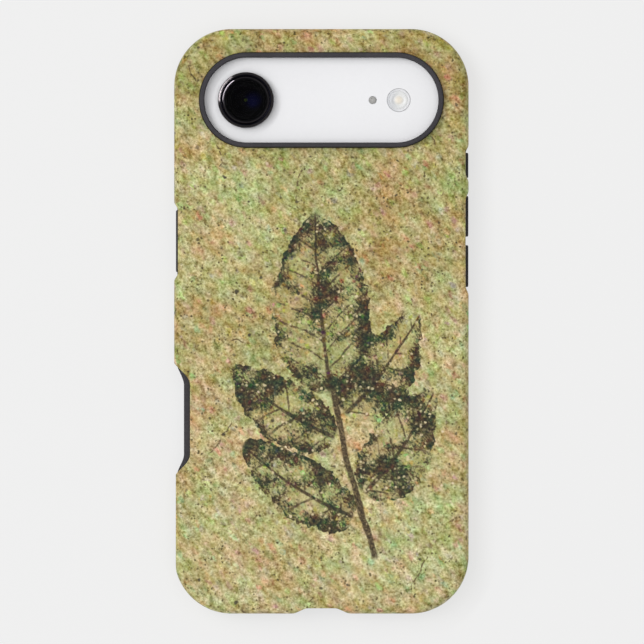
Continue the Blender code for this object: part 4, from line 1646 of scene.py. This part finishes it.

# %% [markdown]
# ## Everything in its place
#
# Each made piece stands for a solid of the frame: it rides on the same body, hides the solid
# and takes its finish. One table keeps that in one place.

# %% Ride, replace, finish
DRESSED = [
    # piece, the solid it stands for, material slot, finish
    (shell, "case_shell", "printed_shell", print_look),
    (liner, "case_liner", "liner_rubber", rubber),
    (front_glass, "phone_screen", "screen_glass", front_look),
    (side_frame, "phone_frame", "frame_metal", satin_metal),
    (white_back, "phone_back", "white_back", white_glass),
    (port_cup, "charging_port", "port_steel", plated_steel),
    (port_tongue, "charging_port", "black_metal", tongue_look),
    (ring, "camera_ring", "black_metal", black_anodised),
    (barrel, "camera_barrel", "black_metal", coated_barrel),
    (cover_glass, "camera_glass", "lens_glass", coated_cover),
    (flash_cover, "flash_lens", "flash_cover", flash_look),
    (microphone_cap, "microphone_grille", "grille_mesh", grille_look),
]
DRESSED += [(key, name, "frame_metal", satin_metal) for name, key in keys.items()]
DRESSED += [(head, name, "port_steel", plated_steel) for name, head in screws.items()]

for piece, solid, slot_name, look in DRESSED:
    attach(piece, "root")
    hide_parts(solid)
    finish(piece, look)
print(len(DRESSED), "pieces dressed")

# %% [markdown]
# ## A table that glows
#
# In the photograph the ground stays pale right up to the case, with next to no shadow. A white
# card would be darkened by whatever lies on it. A photographer would use a light table, a lit
# sheet of frosted plastic, and this floor is one: most of its brightness is its own.

# %% The light table
FLOOR_SHADE = shade(122, 122, 122)
FLOOR_GLOW = 0.675
FLOOR_REACH = 2000.0
WHITE = (1.0, 1.0, 1.0, 1.0)


def floor():
    """A wide sheet at the level of the table's top."""
    mesh = bmesh.new()
    bmesh.ops.create_grid(mesh, x_segments=2, y_segments=2, size=FLOOR_REACH)
    made = piece_from("floor", mesh)
    look, shader, where = material("pale_floor", 0.8, specular=0.1)
    colour_by(shader, mottled(FLOOR_SHADE, where, 400.0, 1.0, 91, (1, 1, 1)))
    shader.inputs["Emission Color"].default_value = WHITE
    shader.inputs["Emission Strength"].default_value = FLOOR_GLOW
    finish(made, look)
    made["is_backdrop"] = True


floor()
print("the table glows at", FLOOR_GLOW)

# %% [markdown]
# ## Soft boxes round the camera
#
# Most of the light comes from one large soft box, high up on the left. It shades the left end
# of the camera window and leaves the right end bright, and three weaker boxes fill in from the
# other sides. A single lamp like the sun would be simpler, but its shadows are too hard and its
# glint is only a dot. The bright arcs on the camera are three narrow strips of light, which
# stand where the bevels mirror them: a face that leans by an angle, seen from straight above,
# shows what stands twice that angle away from the vertical. The camera over the middle of the
# phone sees the lens a trifle from one side, which lowers them by a little more.

# %% Lights
LIGHT_DISTANCE = 4.0
SKY = 0.38
BEVEL_LEAN = 19.65
VIEW_LEAN = 0.8
# name, power, length and width, bearings, height in degrees
SOFT_BOXES = (
    ("key", 46.6, (1.7, 1.7), (165.0,), 66.0),
    ("fill", 10.0, (1.5, 1.5), (45.0, 235.0, 315.0), 70.0),
    ("glint", 10.5, (0.9, 0.14), (131.0, 150.0, 169.0), 90.0 - 2 * BEVEL_LEAN - VIEW_LEAN),
)


def soft_box(name, power, size, bearing, height):
    """A lit panel. Its bearing is counted anticlockwise from +X, its height in degrees."""
    light = bpy.data.lights.new(name, "AREA")
    light.shape = "RECTANGLE"
    light.energy = power
    light.size, light.size_y = size
    made = bpy.data.objects.new(name, light)
    bpy.context.scene.collection.objects.link(made)
    turn, rise = math.radians(bearing), math.radians(height)
    flat = math.cos(rise)
    towards = Vector((math.cos(turn) * flat, math.sin(turn) * flat, math.sin(rise)))
    made.location = towards * LIGHT_DISTANCE
    made.rotation_mode = "QUATERNION"
    made.rotation_quaternion = towards.to_track_quat("Z", "Y")


def sky():
    """An even white sky, which lights what the boxes don't reach."""
    world = bpy.data.worlds.new("even_sky")
    world.use_nodes = True
    shader = world.node_tree.nodes["Background"]
    shader.inputs["Color"].default_value = WHITE
    shader.inputs["Strength"].default_value = SKY
    bpy.context.scene.world = world


sky()
for name, power, size, bearings, height in SOFT_BOXES:
    for bearing in bearings:
        soft_box(name, power, size, bearing, height)

# %% [markdown]
# ## The camera
#
# The photograph looks straight at the back with no perspective to speak of. An orthographic
# camera would do that, but seen from low down it starts partly under the floor. So this one has
# a very long lens and stands far above the phone where it lies. Its distance comes from the
# case's real length, measured half way between its widest line and its back. The standard view
# transform is used, because the photograph's pale ground is nearly white and a film-like curve
# would grey it.

# %% Camera
MM_PER_PIXEL = 0.2768
FRAME_PIXELS = 644
CASE_MIDDLE = (321.4, 321.3)
LONG_LENS = 700.0
SENSOR = 36.0


def camera():
    """Looks straight down, with the case's middle at its place in the frame."""
    made = bpy.data.objects.new("camera", bpy.data.cameras.new("camera"))
    bpy.context.scene.collection.objects.link(made)
    made.data.lens, made.data.sensor_width = LONG_LENS, SENSOR
    right = (FRAME_PIXELS / 2 - CASE_MIDDLE[0]) * MM_PER_PIXEL
    up = (CASE_MIDDLE[1] - FRAME_PIXELS / 2) * MM_PER_PIXEL
    above = FRAME_PIXELS * MM_PER_PIXEL * LONG_LENS / SENSOR + (WIDEST_Z + BACK_Z) / 2
    made.location = Vector((right, up, above)) * MM
    bpy.context.scene.camera = made


camera()
bpy.context.scene.view_settings.view_transform = "Standard"
print("the frame is", round(FRAME_PIXELS * MM_PER_PIXEL, 1), "mm wide")

# %% [markdown]
# ## Sizes of both boxes
#
# The last cell prints the solids' box and the box of the pieces as seen, in millimetres.
# The two should agree, because nothing here reaches past the solids.

# %% Sizes of both boxes, and the end
seen_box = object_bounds()
for name, box in (("cad", cad_box), ("visual", seen_box)):
    print(name, [[round(value * 1000, 2) for value in corner] for corner in box])
